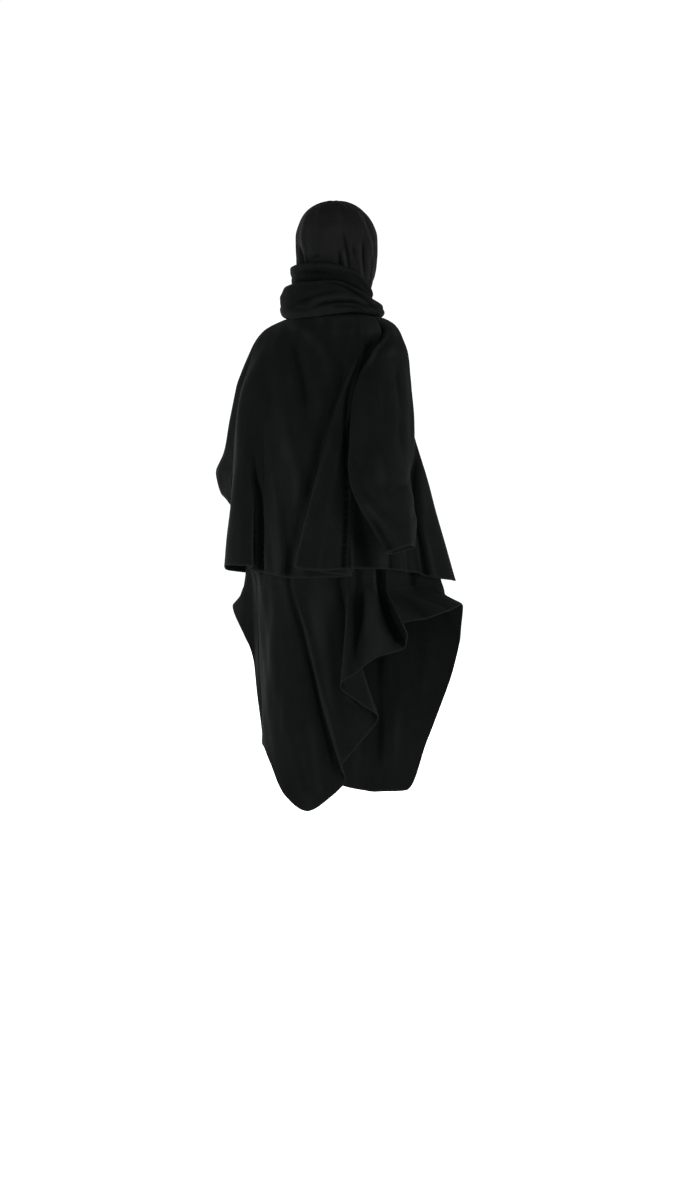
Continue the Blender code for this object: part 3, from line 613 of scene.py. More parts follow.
        (4.5, ((-90, -62, 0), (-30, -70, -2), (40, -70, -2), (90, -60, 0))),
    ),
    ("scarf_lower_wrap", 150): (
        (5, ((-30, -58, 0), (20, -74, -2), (76, -90, -2), (110, -98, 0))),
    ),
    ("scarf_upper_wrap", MAIN_SIDE): (
        (5, ((-96, -140, 0), (-60, -150, -1.2), (0, -146, -1.3), (44, -132, 0))),
        (7, ((-90, -156, 0), (-30, -162, 1.8), (30, -152, 1.8), (70, -134, 0))),
        (5, ((20, -158, 0), (48, -142, -2.6), (74, -116, -2.6), (92, -94, 0))),
        (5, ((-98, -128, 0), (-70, -132, -2), (-40, -130, 0))),
    ),
    ("scarf_upper_wrap", 0): (
        (5, ((-84, -100, 0), (-30, -120, -2), (30, -130, -2), (84, -132, 0))),
    ),
    ("scarf_upper_wrap", 90): (
        (5, ((-90, -130, 0), (-20, -140, -1.8), (50, -148, -1.6), (90, -150, 0))),
    ),
    ("scarf_upper_wrap", 270): (
        (5, ((-90, -128, 0), (-40, -106, -2), (20, -92, -2), (70, -86, 0))),
    ),
    ("scarf_upper_wrap", 150): (
        (5, ((-60, -140, 0), (0, -150, -1.6), (60, -146, -1.6), (96, -138, 0))),
    ),
    ("hood", MAIN_SIDE): (
        # pleat at the left of the back
        (4, ((-58, -306, 0), (-70, -268, 3.2), (-75, -238, 4), (-72, -212, 3.6), (-66, -190, 0))),
        (5, ((-68, -262, 0), (-73, -232, -2.4), (-68, -206, -2), (-62, -190, 0))),
        (4.5, ((-88, -230, 0), (-82, -206, -5.5), (-77, -184, -7), (-74, -160, -6))),
        (3.6, ((-70, -202, 0), (-66, -186, -4), (-64, -170, -4), (-64, -156, -3))),
        (5, ((-60, -176, -2), (-46, -186, -3.2), (-26, -190, 0))),
        # gathers that run into the wound scarf
        (5, ((17, -272, 0), (22, -242, -2.6), (30, -206, -5), (35, -180, -6), (38, -150, -5))),
        (3.6, ((12, -206, 0), (14, -188, -4), (15, -166, -4.5), (16, -146, -3))),
        (4.5, ((20, -206, 0), (24, -184, 2.4), (26, -160, 2))),
        (3.6, ((50, -214, 0), (50, -196, -3.6), (52, -180, -3), (56, -150, 0))),
        (4.5, ((60, -238, 0), (61, -206, 2.6), (63, -172, 2.6), (68, -138, 1))),
        (5, ((70, -232, 0), (72, -190, -4), (76, -150, -5), (78, -120, -4))),
        (6, ((42, -210, 0), (44, -184, 1.6), (48, -160, 1.6), (50, -140, 0))),
        (5, ((18, -310, 0), (19, -299, -2.2), (18, -286, 0))),
        (9, ((-30, -268, 0), (-34, -230, -1.6), (-30, -190, 0))),
        # turned front edge
        (3.6, ((50, -304, 0), (62, -282, 3.4), (80, -246, 5), (92, -206, 5), (96, -150, 1))),
        (6, ((66, -304, 0), (82, -270, -6), (98, -228, -8), (103, -180, -7), (100, -150, -4))),
    ),
    ("hood", 150): (
        # the other sides
        (5, ((-30, -284, 0), (-42, -236, -2), (-46, -196, -2.2), (-42, -156, -2))),
    ),
    ("hood", 90): (
        (5, ((10, -290, 0), (22, -240, -2.8), (26, -196, -3), (20, -150, -3))),
        (4, ((-14, -236, 0), (-10, -200, -2.6), (-12, -150, -2.8))),
        (4, ((44, -232, 0), (46, -196, -2.8), (42, -156, -3))),
    ),
    ("hood", 270): (
        (5, ((-14, -262, 0), (-24, -226, -1), (-24, -180, -1.6), (-18, -120, -1.6))),
        (4, ((12, -226, 0), (10, -186, -2.6), (14, -110, -2.8))),
        (4, ((-50, -236, 0), (-52, -196, -2.6), (-46, -140, -2.8))),
    ),
    ("hood", 330): (
        (5, ((-60, -150, 0), (-40, -130, -2.4), (-10, -116, -2.6), (20, -112, 0))),
    ),
}

CREASE_SAMPLES = 24   # places along a crease from one of its points to the next
CREASE_REACH = 3.2    # in half widths: further out a crease isn't felt
FACING_LEAST = 0.04   # cloth that faces the side a crease is seen from by less doesn't take it
FACING_RAMP = 0.25    # and takes all of it when it faces that side by this much more

# Slow swings of hung cloth: height, waves to the metre round and down, phase.
SWING_RADIUS = 0.2
SWINGS = (
    (1.2, 5.3, 2.1, 0.4),
    (0.8, 9.1, 3.7, 2.2),
    (0.5, 15.7, -6.3, 4.1),
)


def smooth(knots, values, at):
    """Monotone cubic through the knots, so that cloth never swings past its own rows."""
    knots, values = np.asarray(knots, float), np.asarray(values, float)
    step = np.diff(knots)
    slope = np.diff(values) / step
    tangent = np.zeros_like(values)
    tangent[0], tangent[-1] = slope[0], slope[-1]
    for k in range(1, len(values) - 1):
        before, after = slope[k - 1], slope[k]
        if before * after > 0:
            tangent[k] = 2.0 * before * after / (before + after)
    span = np.clip(np.searchsorted(knots, at, side="right") - 1, 0, len(step) - 1)
    t = (at - knots[span]) / step[span]
    rise = values[span + 1] - values[span]
    a = tangent[span] * step[span]
    b = tangent[span + 1] * step[span]
    return values[span] + t * a + t * t * (3 * rise - 2 * a - b) + t ** 3 * (a + b - 2 * rise)


def place(angle, radius, height):
    """Points in metres from angles, radii and heights."""
    turn = np.radians(angle)
    return np.stack([-radius * np.sin(turn), radius * np.cos(turn), height + 0 * radius], -1) * MM


def oval(angle, left, right, back, front):
    """Radius of an oval whose four sides have their own reach."""
    turn = np.radians(angle)
    across = np.where(np.sin(turn) > 0, right, left)
    along = np.where(np.cos(turn) > 0, back, front)
    return 1.0 / np.sqrt((np.sin(turn) / across) ** 2 + (np.cos(turn) / along) ** 2)


def between(stops, step):
    """The stops with even steps of about one length put between them."""
    parts = [np.linspace(a, b, max(1, round(abs(b - a) / step)), endpoint=False)
             for a, b in zip(stops[:-1], stops[1:])]
    return np.concatenate([*parts, stops[-1:]])


def finer(grid, axis, steps):
    """Put smooth rows or columns between those of a grid."""
    count = grid.shape[axis]
    return along(grid, axis, np.arange(count), np.linspace(0, count - 1, (count - 1) * steps + 1))


def along(grid, axis, knots, at):
    """Read a grid's rows or columns at new places between its own."""
    lines = np.moveaxis(grid, axis, 0).reshape(grid.shape[axis], -1)
    made = np.array([smooth(knots, lines[:, k], at) for k in range(lines.shape[1])]).T
    return np.moveaxis(made.reshape(len(at), *np.delete(grid.shape, axis)), 0, axis)


def unit(vectors):
    """The vectors at length 1."""
    return vectors / np.maximum(np.linalg.norm(vectors, axis=-1, keepdims=True), 1e-12)


def facing(grid, closed=False):
    """Outward normals of a grid of points."""
    def way(axis, ring):
        ends = {"append": np.take(grid, [0], axis)} if ring else {}
        step = unit(np.diff(grid, axis=axis, **ends))
        if ring:
            return step + np.roll(step, 1, axis)
        first, last = np.take(step, [0], axis), np.take(step, [-1], axis)
        return np.concatenate([first, step], axis) + np.concatenate([step, last], axis)
    return unit(np.cross(way(0, False), way(1, closed)))


# ---------------------------------------------------------------------------------------------
# Creases pressed into a grid
# ---------------------------------------------------------------------------------------------
def crease_height(points, normals, azimuth, half_width, line):
    """Height that one crease adds at each point, as seen from its azimuth."""
    turn = math.radians(azimuth)
    towards = np.array([math.sin(turn), -math.cos(turn), 0.0])
    right = np.array([math.cos(turn), math.sin(turn), 0.0])
    seen = np.stack([points @ right, -points[:, 2]], -1) / MM
    knots = np.arange(len(line))
    table = np.array(line, float)
    at = np.linspace(0, len(line) - 1, CREASE_SAMPLES * (len(line) - 1) + 1)
    path = np.stack([smooth(knots, table[:, part], at) for part in range(3)], -1)
    reach = CREASE_REACH * half_width
    low, high = path[:, :2].min(0) - reach, path[:, :2].max(0) + reach
    near = np.flatnonzero(((seen > low) & (seen < high)).all(1) & (normals @ towards > FACING_LEAST))
    height = np.zeros(len(points))
    if len(near):
        away = seen[near, None] - path[None, :, :2]
        square = (away * away).sum(2)
        closest = square.argmin(1)
        turned = np.clip((normals[near] @ towards - FACING_LEAST) / FACING_RAMP, 0, 1)
        fall = np.exp(-square[np.arange(len(near)), closest] / half_width ** 2)
        height[near] = path[closest, 2] * fall * turned
    return height


def swing_height(grid):
    """Slow uneven waves of hung cloth, from how far round and how far down a point lies."""
    angle = np.arctan2(-grid[..., 0], grid[..., 1])
    drop = -grid[..., 2]
    waves = 0
    for size, turns, down, phase in SWINGS:
        whole = round(turns * SWING_RADIUS * 2 * np.pi)
        waves = waves + size * np.sin(2 * np.pi * (whole * angle / (2 * np.pi) + down * drop) + phase)
    return waves


def pressed(name, grid, strength=1.0, closed=False, flip=False, swing=1.0):
    """The grid with its piece's creases and slow swings pressed in along its normals."""
    normals = facing(grid, closed) * (-1 if flip else 1)
    points, ways = grid.reshape(-1, 3), normals.reshape(-1, 3)
    height = sum(crease_height(points, ways, azimuth, *row) * (1 if azimuth == MAIN_SIDE else OTHER_SIDES)
                 for (piece, azimuth), rows in CREASES.items() if piece == name for row in rows) * strength
    height, waves = height.reshape(grid.shape[:2]), swing * swing_height(grid)
    # sewn panels wave straight out from the axis, so that both sides of a seam go the same way
    outward = normals if closed else unit(grid * (1, 1, 0))
    return grid + (normals * height[..., None] + outward * waves[..., None]) * MM


def sunk_seams(grid, flip=False, rows=None, depth=1.0, reach=3.0):
    """Roll the two side edges of a panel in, where a seam takes them."""
    normals = facing(grid) * (-1 if flip else 1)
    step = np.linalg.norm(np.diff(grid, axis=1), axis=2)
    zero = np.zeros((len(grid), 1))
    start = np.concatenate([zero, np.cumsum(step, 1)], 1)
    end = start[:, -1:] - start
    near = np.minimum(start, end) / MM
    sink = depth * np.exp(-(near / reach) ** 2)
    if rows is not None:
        sink[rows:] = 0
    return grid - normals * sink[..., None] * MM


# ---------------------------------------------------------------------------------------------
# From a grid to a cloth wall
# ---------------------------------------------------------------------------------------------
RIM_TURNS = (45, 90, 135)        # rings of points round an edge, in degrees from the outer skin
RIM_CRESTS = (0.7, 0, -0.7)      # the share of the skin's crest that each ring keeps
EDGE_REACH = 2.4                 # how far in from a cut edge its painted highlight runs, in millimetres
FAR_FROM_EDGE = 99.0             # in millimetres, for points that no round reaches
FINE_ROUNDS, BROAD_ROUNDS = 16, 60   # rounds of evening that find narrow and broad creases
BROAD_SHARE = 0.4                # the part that broad creases have in the crest mark


def grid_faces(grid, closed=False, closed_from=None, flip=False):
    """Quads of a grid, and the place of each corner on the cloth laid flat, in metres."""
    rows, columns = grid.shape[:2]
    ids = np.arange(rows * columns).reshape(rows, columns)
    if closed:
        ids = np.concatenate([ids, ids[:, :1]], 1)
        grid = np.concatenate([grid, grid[:, :1]], 1)
    if closed_from is not None:
        ids[closed_from:, -1] = ids[closed_from:, 0]
    across = np.linalg.norm(np.diff(grid, axis=1, prepend=grid[:, :1]), axis=2).cumsum(1)
    down = np.linalg.norm(np.diff(grid, axis=0, prepend=grid[:1]), axis=2).cumsum(0)
    flat = np.stack([across, -down], -1)
    here, on = slice(None, -1), slice(1, None)
    corners = [(here, here), (on, here), (on, on), (here, on)]
    quads = np.stack([ids[corner] for corner in corners], -1).reshape(-1, 4)
    marks = np.stack([flat[corner] for corner in corners], 2).reshape(-1, 4, 2)
    if flip:
        quads, marks = quads[:, ::-1], marks[:, ::-1]
    return quads, marks


def face_normals(points, faces):
    """Normals of quads, as long as twice their area."""
    return np.cross(points[faces[:, 2]] - points[faces[:, 0]], points[faces[:, 3]] - points[faces[:, 1]])


def softened_normals(points, faces, rounds=5):
    """Normals at the points, evened out so that the inner skin doesn't fold over itself."""
    normals = np.zeros_like(points)
    for corner in range(4):
        np.add.at(normals, faces[:, corner], face_normals(points, faces))
    normals = unit(normals)
    a, b = faces.ravel(), np.roll(faces, -1, 1).ravel()
    for _ in range(rounds):
        spread_out = normals.copy()
        np.add.at(spread_out, a, normals[b])
        np.add.at(spread_out, b, normals[a])
        normals = unit(spread_out)
    return normals


def free_edges(faces, count):
    """Directed edges that only one face has: start, end, face and corner."""
    start, end = faces.ravel(), np.roll(faces, -1, 1).ravel()
    keys = start.astype(np.int64) * count + end
    other = end.astype(np.int64) * count + start
    alone = np.flatnonzero((start != end) & ~np.isin(keys, other))
    return start[alone], end[alone], alone // 4, alone % 4


def edge_distance(points, faces, edge_points, rounds=7):
    """How far each point lies from the free edge, along the cloth, in millimetres."""
    far = np.full(len(points), FAR_FROM_EDGE)
    far[edge_points] = 0
    a, b = faces.ravel(), np.roll(faces, -1, 1).ravel()
    length = np.linalg.norm(points[a] - points[b], axis=1) / MM
    for _ in range(rounds):
        np.minimum.at(far, b, far[a] + length)
        np.minimum.at(far, a, far[b] + length)
    return far


def proud_height(points, faces, normals, rounds):
    """How far each point stands proud of the cloth round it, in millimetres: below 0 in a trough."""
    a, b = faces.ravel(), np.roll(faces, -1, 1).ravel()
    start, end = np.concatenate([a, b]), np.concatenate([b, a])
    count = len(points)
    neighbours = 1 + np.bincount(start, minlength=count)
    evened = points
    for _ in range(rounds):
        total = [np.bincount(start, evened[end, axis], count) for axis in range(3)]
        evened = (evened + np.stack(total, 1)) / neighbours[:, None]
    proud = ((points - evened) * normals).sum(1) / MM
    return proud - np.median(proud)


def cloth_wall(name, points, faces, marks, thickness, seam=None):
    """A closed cloth wall with round edges: an outer skin, an inner skin and a rim round each edge."""
    count = len(points)
    seam = np.zeros(count, bool) if seam is None else seam
    normals = softened_normals(points, faces)
    inner = points - normals * thickness * MM
    start, end, face, corner = free_edges(faces, count)
    rim_points, local = np.unique(np.concatenate([start, end]), return_inverse=True)
    rim_start, rim_end = local[:len(start)], local[len(start):]
    outward = np.zeros((len(rim_points), 3))
    away = unit(np.cross(points[end] - points[start], normals[start] + normals[end]))
    np.add.at(outward, rim_start, away)
    np.add.at(outward, rim_end, away)
    bulge = np.where(seam[rim_points], SEAM_OVERLAP, 0.5 * thickness)[:, None] * MM
    middle = (points[rim_points] + inner[rim_points]) / 2
    half = (points[rim_points] - inner[rim_points]) / 2
    rings = [middle + half * math.cos(turn) + unit(outward) * bulge * math.sin(turn)
             for turn in np.radians(RIM_TURNS)]
    first_ring = 2 * count
    chain = [rim_points]
    chain += [first_ring + k * len(rim_points) + np.arange(len(rim_points)) for k in range(len(rings))]
    chain.append(rim_points + count)
    rim = [np.stack([one[rim_end], one[rim_start], two[rim_start], two[rim_end]], 1)
           for one, two in zip(chain[:-1], chain[1:])]
    here, there = marks[face, corner], marks[face, (corner + 1) % 4]
    rim_marks = np.stack([there, here, here, there], 1)
    all_points = np.concatenate([points, inner, *rings])
    all_faces = np.concatenate([faces, faces[:, ::-1] + count, *rim])
    all_marks = np.concatenate([marks, marks[:, ::-1], *[rim_marks] * len(rim)])

    # nearness to a cut edge, but not to a seam: the finishes paint a highlight there
    far = edge_distance(points, faces, rim_points[~seam[rim_points]])
    near = np.exp(-(far / EDGE_REACH) ** 2)
    edge = np.concatenate([near, near, *[near[rim_points]] * len(rings)])
    # how proud each point stands over narrow and broad creases: the finishes paint shade in its troughs and highlights
    # on its crests
    proud = (proud_height(points, faces, normals, FINE_ROUNDS)
             + BROAD_SHARE * proud_height(points, faces, normals, BROAD_ROUNDS))
    crest = np.concatenate([proud, -proud, *[proud[rim_points] * part for part in RIM_CRESTS]])

    mesh = bpy.data.meshes.new(name)
    kept = all_faces != np.roll(all_faces, 1, 1)
    corners = [[int(k) for k in row[keep]] for row, keep in zip(all_faces, kept)]
    mesh.from_pydata(all_points.tolist(), [], corners)
    mesh.uv_layers.new(name="cloth").uv.foreach_set("vector", all_marks[kept].ravel())
    for label, values in (("edge", edge), ("crest", crest)):
        mesh.attributes.new(label, "FLOAT", "POINT").data.foreach_set("value", values)
    mesh.shade_smooth()
    mesh.update()
    piece = bpy.data.objects.new(name, mesh)
    bpy.context.collection.objects.link(piece)
    return piece


def flat_size(grid, closed=False):
    """Width, length and area of a grid laid flat."""
    if closed:
        grid = np.concatenate([grid, grid[:, :1]], 1)
    width = np.linalg.norm(np.diff(grid, axis=1), axis=2).sum(1).max()
    length = np.linalg.norm(np.diff(grid, axis=0), axis=2).sum(0).max()
    across, down = grid[:-1, 1:] - grid[1:, :-1], grid[1:, 1:] - grid[:-1, :-1]
    area = np.linalg.norm(np.cross(across, down), axis=2).sum() / 2
    return (float(width), float(length)), float(area)


def dress(piece, node, slot, material, size, held, rests_on=()):
    """Give a piece its finish, its body, the node it stands for and the cut of its cloth."""
    if node not in frame["nodes"]:
        raise RuntimeError(f"the frame has no node {node}")
    piece.data.materials.append(material)
    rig.ride(piece, BODY)
    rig.replaces(piece, node)
    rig.slot(piece, slot)
    flat, area = size
    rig.sheet(piece, flat=flat, held=held, rests_on=list(rests_on), area=area)
    return piece


# ---------------------------------------------------------------------------------------------
# Upper tier
# ---------------------------------------------------------------------------------------------
def fold_line(row, drops):
    """Angle and radius of one crest or valley of the upper tier at the given drops."""
    _, yoke_angle, chest_angle, chest, waist_angle, waist, hem_angle, hem, hem_drop = row
    knots = [-height for height, *_ in YOKE] + [CHEST_DROP, WAIST_DROP, hem_drop]
    radii = [float(oval(yoke_angle, *sides)) for _, *sides in YOKE] + [chest, waist, hem]
    angles = [yoke_angle] * len(YOKE) + [chest_angle, waist_angle, hem_angle]
    return smooth(knots, angles, drops), smooth(knots, radii, drops)


def seam_line(armhole, foot, side, drops):
    """Angle and radius down one side of an armhole, and of the side seam below it."""
    table = np.array(armhole, float)
    first = 1 if side == "back" else 3
    line = []
    for part in (0, 1):
        upper = smooth(table[:, 0], table[:, first + part], np.minimum(drops, UNDERARM_DROP))
        lower = np.interp(drops, (UNDERARM_DROP, foot[0]), (table[-1, first + part], foot[1 + part]))
        line.append(np.where(drops <= UNDERARM_DROP, upper, lower))
    return line


def upper_drops(step):
    """Drops of the rows from the neck to the underarm."""
    return between(np.array(UPPER_DROPS), step)


def tier_drops(hem_drop, step):
    """Drops down one column: fixed ones to the underarm, then on to its own hem."""
    count = round((max(row[-1] for row in BACK_FOLDS) - UNDERARM_DROP) / step)
    lower = np.linspace(UNDERARM_DROP, hem_drop, count + 1)[1:]
    return np.concatenate([upper_drops(step), lower])


def spread(lines, steps):
    """Fill in columns between the lines; returns a grid of points, rows by columns."""
    knots = np.arange(len(lines))
    at = np.linspace(0, len(lines) - 1, (len(lines) - 1) * steps + 1)
    parts = [np.array([smooth(knots, lines[:, part, level], at) for level in range(lines.shape[2])])
             for part in range(3)]
    return place(parts[0], parts[1], -parts[2])


def upper_grids(step):
    """Grids of the back and the fronts."""
    def folds(rows):
        drops = [tier_drops(row[-1], step) for row in rows]
        return [np.array((*fold_line(row, down), down)) for row, down in zip(rows, drops)]

    def side(armhole, foot, edge):
        drops = tier_drops(foot[0], step)
        return [np.array((*seam_line(armhole, foot, edge, drops), drops))]

    right, left = (RIGHT_ARMHOLE, RIGHT_SIDE_FOOT), (LEFT_ARMHOLE, LEFT_SIDE_FOOT)
    # each panel's lines, and how many columns it has from one line to the next
    lines = {
        "back_panel": (side(*left, "back") + folds(BACK_FOLDS) + side(*right, "back"), 11),
        "right_front": (side(*right, "front") + folds(RIGHT_FRONT_FOLDS), 17),
        "left_front": (folds(LEFT_FRONT_FOLDS) + side(*left, "front"), 20),
    }
    return {name: spread(np.array(rows), steps) for name, (rows, steps) in lines.items()}


def creased_upper_grids(settings):
    """The same with creases, cloth falling softly and seams sunk in."""
    grids = upper_grids(settings.row_step)
    return {name: sunk_seams(pressed(name, grid, settings.crease_strength)) for name, grid in grids.items()}


def side_columns(grid):
    """True at the points of the two side edges of a grid."""
    marks = np.zeros(grid.shape[:2], bool)
    marks[:, [0, -1]] = True
    return marks.ravel()


def panel(node, grid, settings, material, held, rests_on=()):
    """One panel of coat cloth on a grid."""
    faces, marks = grid_faces(grid)
    seam = side_columns(grid)
    piece = cloth_wall(node + "_cloth", grid.reshape(-1, 3), faces, marks, settings.coat_wall, seam)
    return dress(piece, node, "wool", material, flat_size(grid), held, rests_on)


def sleeve_grid(name, armhole, foot, cap, forearm, settings, flip):
    """Grid of a deep sleeve, and the row of its underarm."""
    drops = np.array(UPPER_DROPS)
    back, front = (seam_line(armhole, foot, side, drops) for side in ("back", "front"))
    rows = [[(back[0][k], back[1][k], -drop), *((angle, radius, -drop) for angle, radius in row),
             (front[0][k], front[1][k], -drop)] for k, (drop, row) in enumerate(zip(drops, cap))]
    rows += [[*row, row[0]] for row in forearm]
    rows = np.array(rows, float)
    grid = finer(place(rows[..., 0], rows[..., 1], rows[..., 2]), 1, SLEEVE_STEPS)
    below = np.linalg.norm(np.diff(grid[len(drops) - 1:], axis=0), axis=2).mean(1) / MM
    knots = np.concatenate([drops, UNDERARM_DROP + np.cumsum(below)])
    dense = upper_drops(settings.row_step)
    at = np.concatenate([dense, between(knots[len(drops) - 1:], settings.row_step)[1:]])
    grid = along(grid, 0, knots, at)
    for column, side in ((0, "back"), (-1, "front")):
        angle, radius = seam_line(armhole, foot, side, dense)
        grid[:len(dense), column] = place(angle, radius, -dense)
    under = len(dense) - 1
    grid = pressed(name, grid, settings.crease_strength, flip=flip)
    grid[under:, 0] = grid[under:, -1] = (grid[under:, 0] + grid[under:, -1]) / 2
    return sunk_seams(grid, flip, under), under


def sleeve(node, armhole, foot, cap, forearm, settings, material, flip):
    """One deep sleeve, open to the body at its top and a closed tube at its forearm."""
    grid, under = sleeve_grid(node, armhole, foot, cap, forearm, settings, flip)
    faces, marks = grid_faces(grid, closed_from=under, flip=flip)
    points = grid.reshape(-1, 3)
    seam = side_columns(grid)
    used, faces = np.unique(faces, return_inverse=True)
    faces = faces.reshape(-1, 4)
    piece = cloth_wall(node + "_cloth", points[used], faces, marks, settings.coat_wall, seam[used])
    return dress(piece, node, "wool", material, flat_size(grid), "draped", ["back_panel"])


# ---------------------------------------------------------------------------------------------
# Lower tier
# ---------------------------------------------------------------------------------------------
def innermost(grids, drop, reach=7):
    """Radius of the upper tier's innermost cloth at one drop, evened out over reach degrees each way."""
    angles = np.arange(-180, 181)
    ways = place(angles, np.full(angles.shape, 1.0 / MM), 0)[:, :2]
    least = np.full(angles.shape, 1e9)
    for grid in grids.values():
        loop = np.array([[np.interp(drop * MM, -column[:, 2], column[:, part]) for part in (0, 1)]
                         for column in grid.transpose(1, 0, 2)])
        for start, end in zip(loop[:-1], loop[1:]):
            along_way = end - start
            across = ways[:, 0] * along_way[1] - ways[:, 1] * along_way[0]
            across = np.where(abs(across) < 1e-9, 1e-9, across)
            radius = (start[0] * along_way[1] - start[1] * along_way[0]) / across
            part = (start[0] * ways[:, 1] - start[1] * ways[:, 0]) / across
            crossing = (part >= -0.001) & (part <= 1.001) & (radius > 0)
            least = np.where(crossing, np.minimum(least, radius / MM), least)
    around = np.concatenate([least[-1 - 2 * reach:-1], least, least[1:1 + 2 * reach]])
    least = np.min([around[k:k + len(least) + 2 * reach] for k in range(2 * reach + 1)], axis=0)
    return angles, np.mean([least[k:k + len(angles)] for k in range(2 * reach + 1)], axis=0)


def drape_lines(folds, limits, step):
    """Lines of a panel of the lower tier: angles, radii and drops down each crest and valley."""
    lines = []
    longest = max(row[-1] for row in folds)
    count = round((longest - DRAPE_WAIST_DROP) / step)
    upper = between(np.array([DRAPE_SEAM_DROP, DRAPE_WAIST_DROP]), step)[:-1]
    for _, seam_angle, waist_angle, waist, hem_angle, hem, hem_drop in folds:
        start = float(np.interp(seam_angle, *limits[DRAPE_SEAM_DROP]))
        knots = [DRAPE_SEAM_DROP, DRAPE_WAIST_DROP, hem_drop]
        drops = np.concatenate([upper, np.linspace(DRAPE_WAIST_DROP, hem_drop, count)])
        angles = np.interp(drops, knots, [seam_angle, waist_angle, hem_angle])
        lines.append((angles, smooth(knots, [start, waist, hem], drops), drops))
    return np.array(lines)


def keep_inside(grid, limits):
    """Hold the lower tier inside the upper tier as far down as the upper hem."""
    angle = np.degrees(np.arctan2(-grid[..., 0], grid[..., 1]))
    radius = np.hypot(grid[..., 0], grid[..., 1])
    drop = -grid[..., 2] / MM
    levels = sorted(limits)
    room = np.array([np.interp(angle, *limits[level]) for level in levels])
    above = np.clip(np.searchsorted(levels, drop, side="right") - 1, 0, len(levels) - 2)
    part = np.clip((drop - np.take(levels, above)) / np.take(np.diff(levels), above), 0, 1)
    most = (np.take_along_axis(room, above[None], 0)[0] * (1 - part)
            + np.take_along_axis(room, above[None] + 1, 0)[0] * part) * MM
    free = np.clip((drop - DRAPE_FREE_DROPS[0]) / np.ptp(DRAPE_FREE_DROPS), 0, 1)
    held = np.minimum(radius, most)
    held += (radius - held) * free * free * (3 - 2 * free)
    grid[..., :2] *= (held / radius)[..., None]
    return grid


def lower_grids(settings):
    """Grids of the lower tier, inside the creased upper tier."""
    uppers = creased_upper_grids(settings)
    limits = {}
    for drop in DRAPE_COVERED_DROPS:
        angles, radii = innermost(uppers, drop)
        limits[drop] = (angles, radii - settings.coat_wall - SEAT_GAP - TIER_MARGIN)
    made = {}
    for name, folds, steps in (("drape_back", DRAPE_BACK_FOLDS, 16),
                               ("drape_cascade", CASCADE_FOLDS, 10),
                               ("drape_right_front", DRAPE_RIGHT_FRONT_FOLDS, 20),
                               ("drape_left_front", DRAPE_LEFT_FRONT_FOLDS, 18)):
        grid = spread(drape_lines(folds, limits, settings.row_step), steps)
        grid = keep_inside(pressed(name, grid, settings.crease_strength), limits)
        made[name] = sunk_seams(grid, depth=0.5)
    return made


# ---------------------------------------------------------------------------------------------
# Hood and scarf
# ---------------------------------------------------------------------------------------------
HOOD_COLUMNS = 168
HOOD_TOP_ROWS, HOOD_ROWS = 14, 66   # rows over the top of the dome, and from there to the neck
HOOD_TIP = 1.12                     # how far before the end of its table the top row lies
GATHER_FOOT, GATHER_RISE = 100, 25  # heights in millimetres: gathers start at the first
HOOD_SWING, WRAP_SWING = 0.5, 0.35  # shares of the slow swings
WRAP_COLUMNS = 176
FACE_REACH = 1.3                    # in half sizes of the opening: its edge lies nearer than this
NECK_WALL = 3.0
# The hem round the face and the dip of its stitch line: height, distance from the edge, half width.
FACE_HEM = ((1.1, 4, 4.5), (-0.7, 11.5, 2.2))
FACE_KEPT = 0.92                    # share of the hood's cloth left after the face opening is cut


def hood_sides(height):
    """Half width, back and front depth and shift of the hood at some heights."""
    table = np.array(HOOD)
    level = np.clip(height, table[0, 0], table[-1, 0])
    return [smooth(table[:, 0], table[:, part], level) for part in range(1, 5)]


def hood_radius(angle, height):
    """Reach of the hood from the upright axis, its soft gathers left out."""
    width, back, front, shift = hood_sides(height)
    turn = np.radians(angle)
    reach = oval(angle, width, width, back, front)
    return np.hypot(reach * np.sin(turn), reach * np.cos(turn) + shift)


def hood_grid(settings):
    """Grid of the gathered dome, from just below its tip down to the neck."""
    table = np.array(HOOD)
    places = np.concatenate([np.linspace(len(HOOD) - HOOD_TIP, len(HOOD) - 3, HOOD_TOP_ROWS, endpoint=False),
                             np.linspace(len(HOOD) - 3, 0, HOOD_ROWS)])
    levels = smooth(np.arange(len(HOOD)), table[:, 0], places)
    sides = [smooth(np.arange(len(HOOD)), table[:, part], places)[:, None] for part in range(1, 5)]
    angles = np.linspace(-180, 180, HOOD_COLUMNS, endpoint=False)
    height, angle = np.meshgrid(levels, angles, indexing="ij")
    width, back, front, shift = sides
    reach = oval(angle, width, width, back, front)
    for fold_angle, half_width, depth, lowest, highest in HOOD_FOLDS:
        away = (angle - fold_angle) / half_width
        fade = np.clip((highest - height) / (highest - lowest), 0, 1)
        fade = fade * np.clip((height - GATHER_FOOT) / GATHER_RISE, 0, 1)
        reach = reach + depth * fade * np.exp(-away * away)
    grid = place(angle, reach, height)
    grid[..., 1] += shift * MM
    return pressed("hood", grid, settings.crease_strength, closed=True, swing=HOOD_SWING)


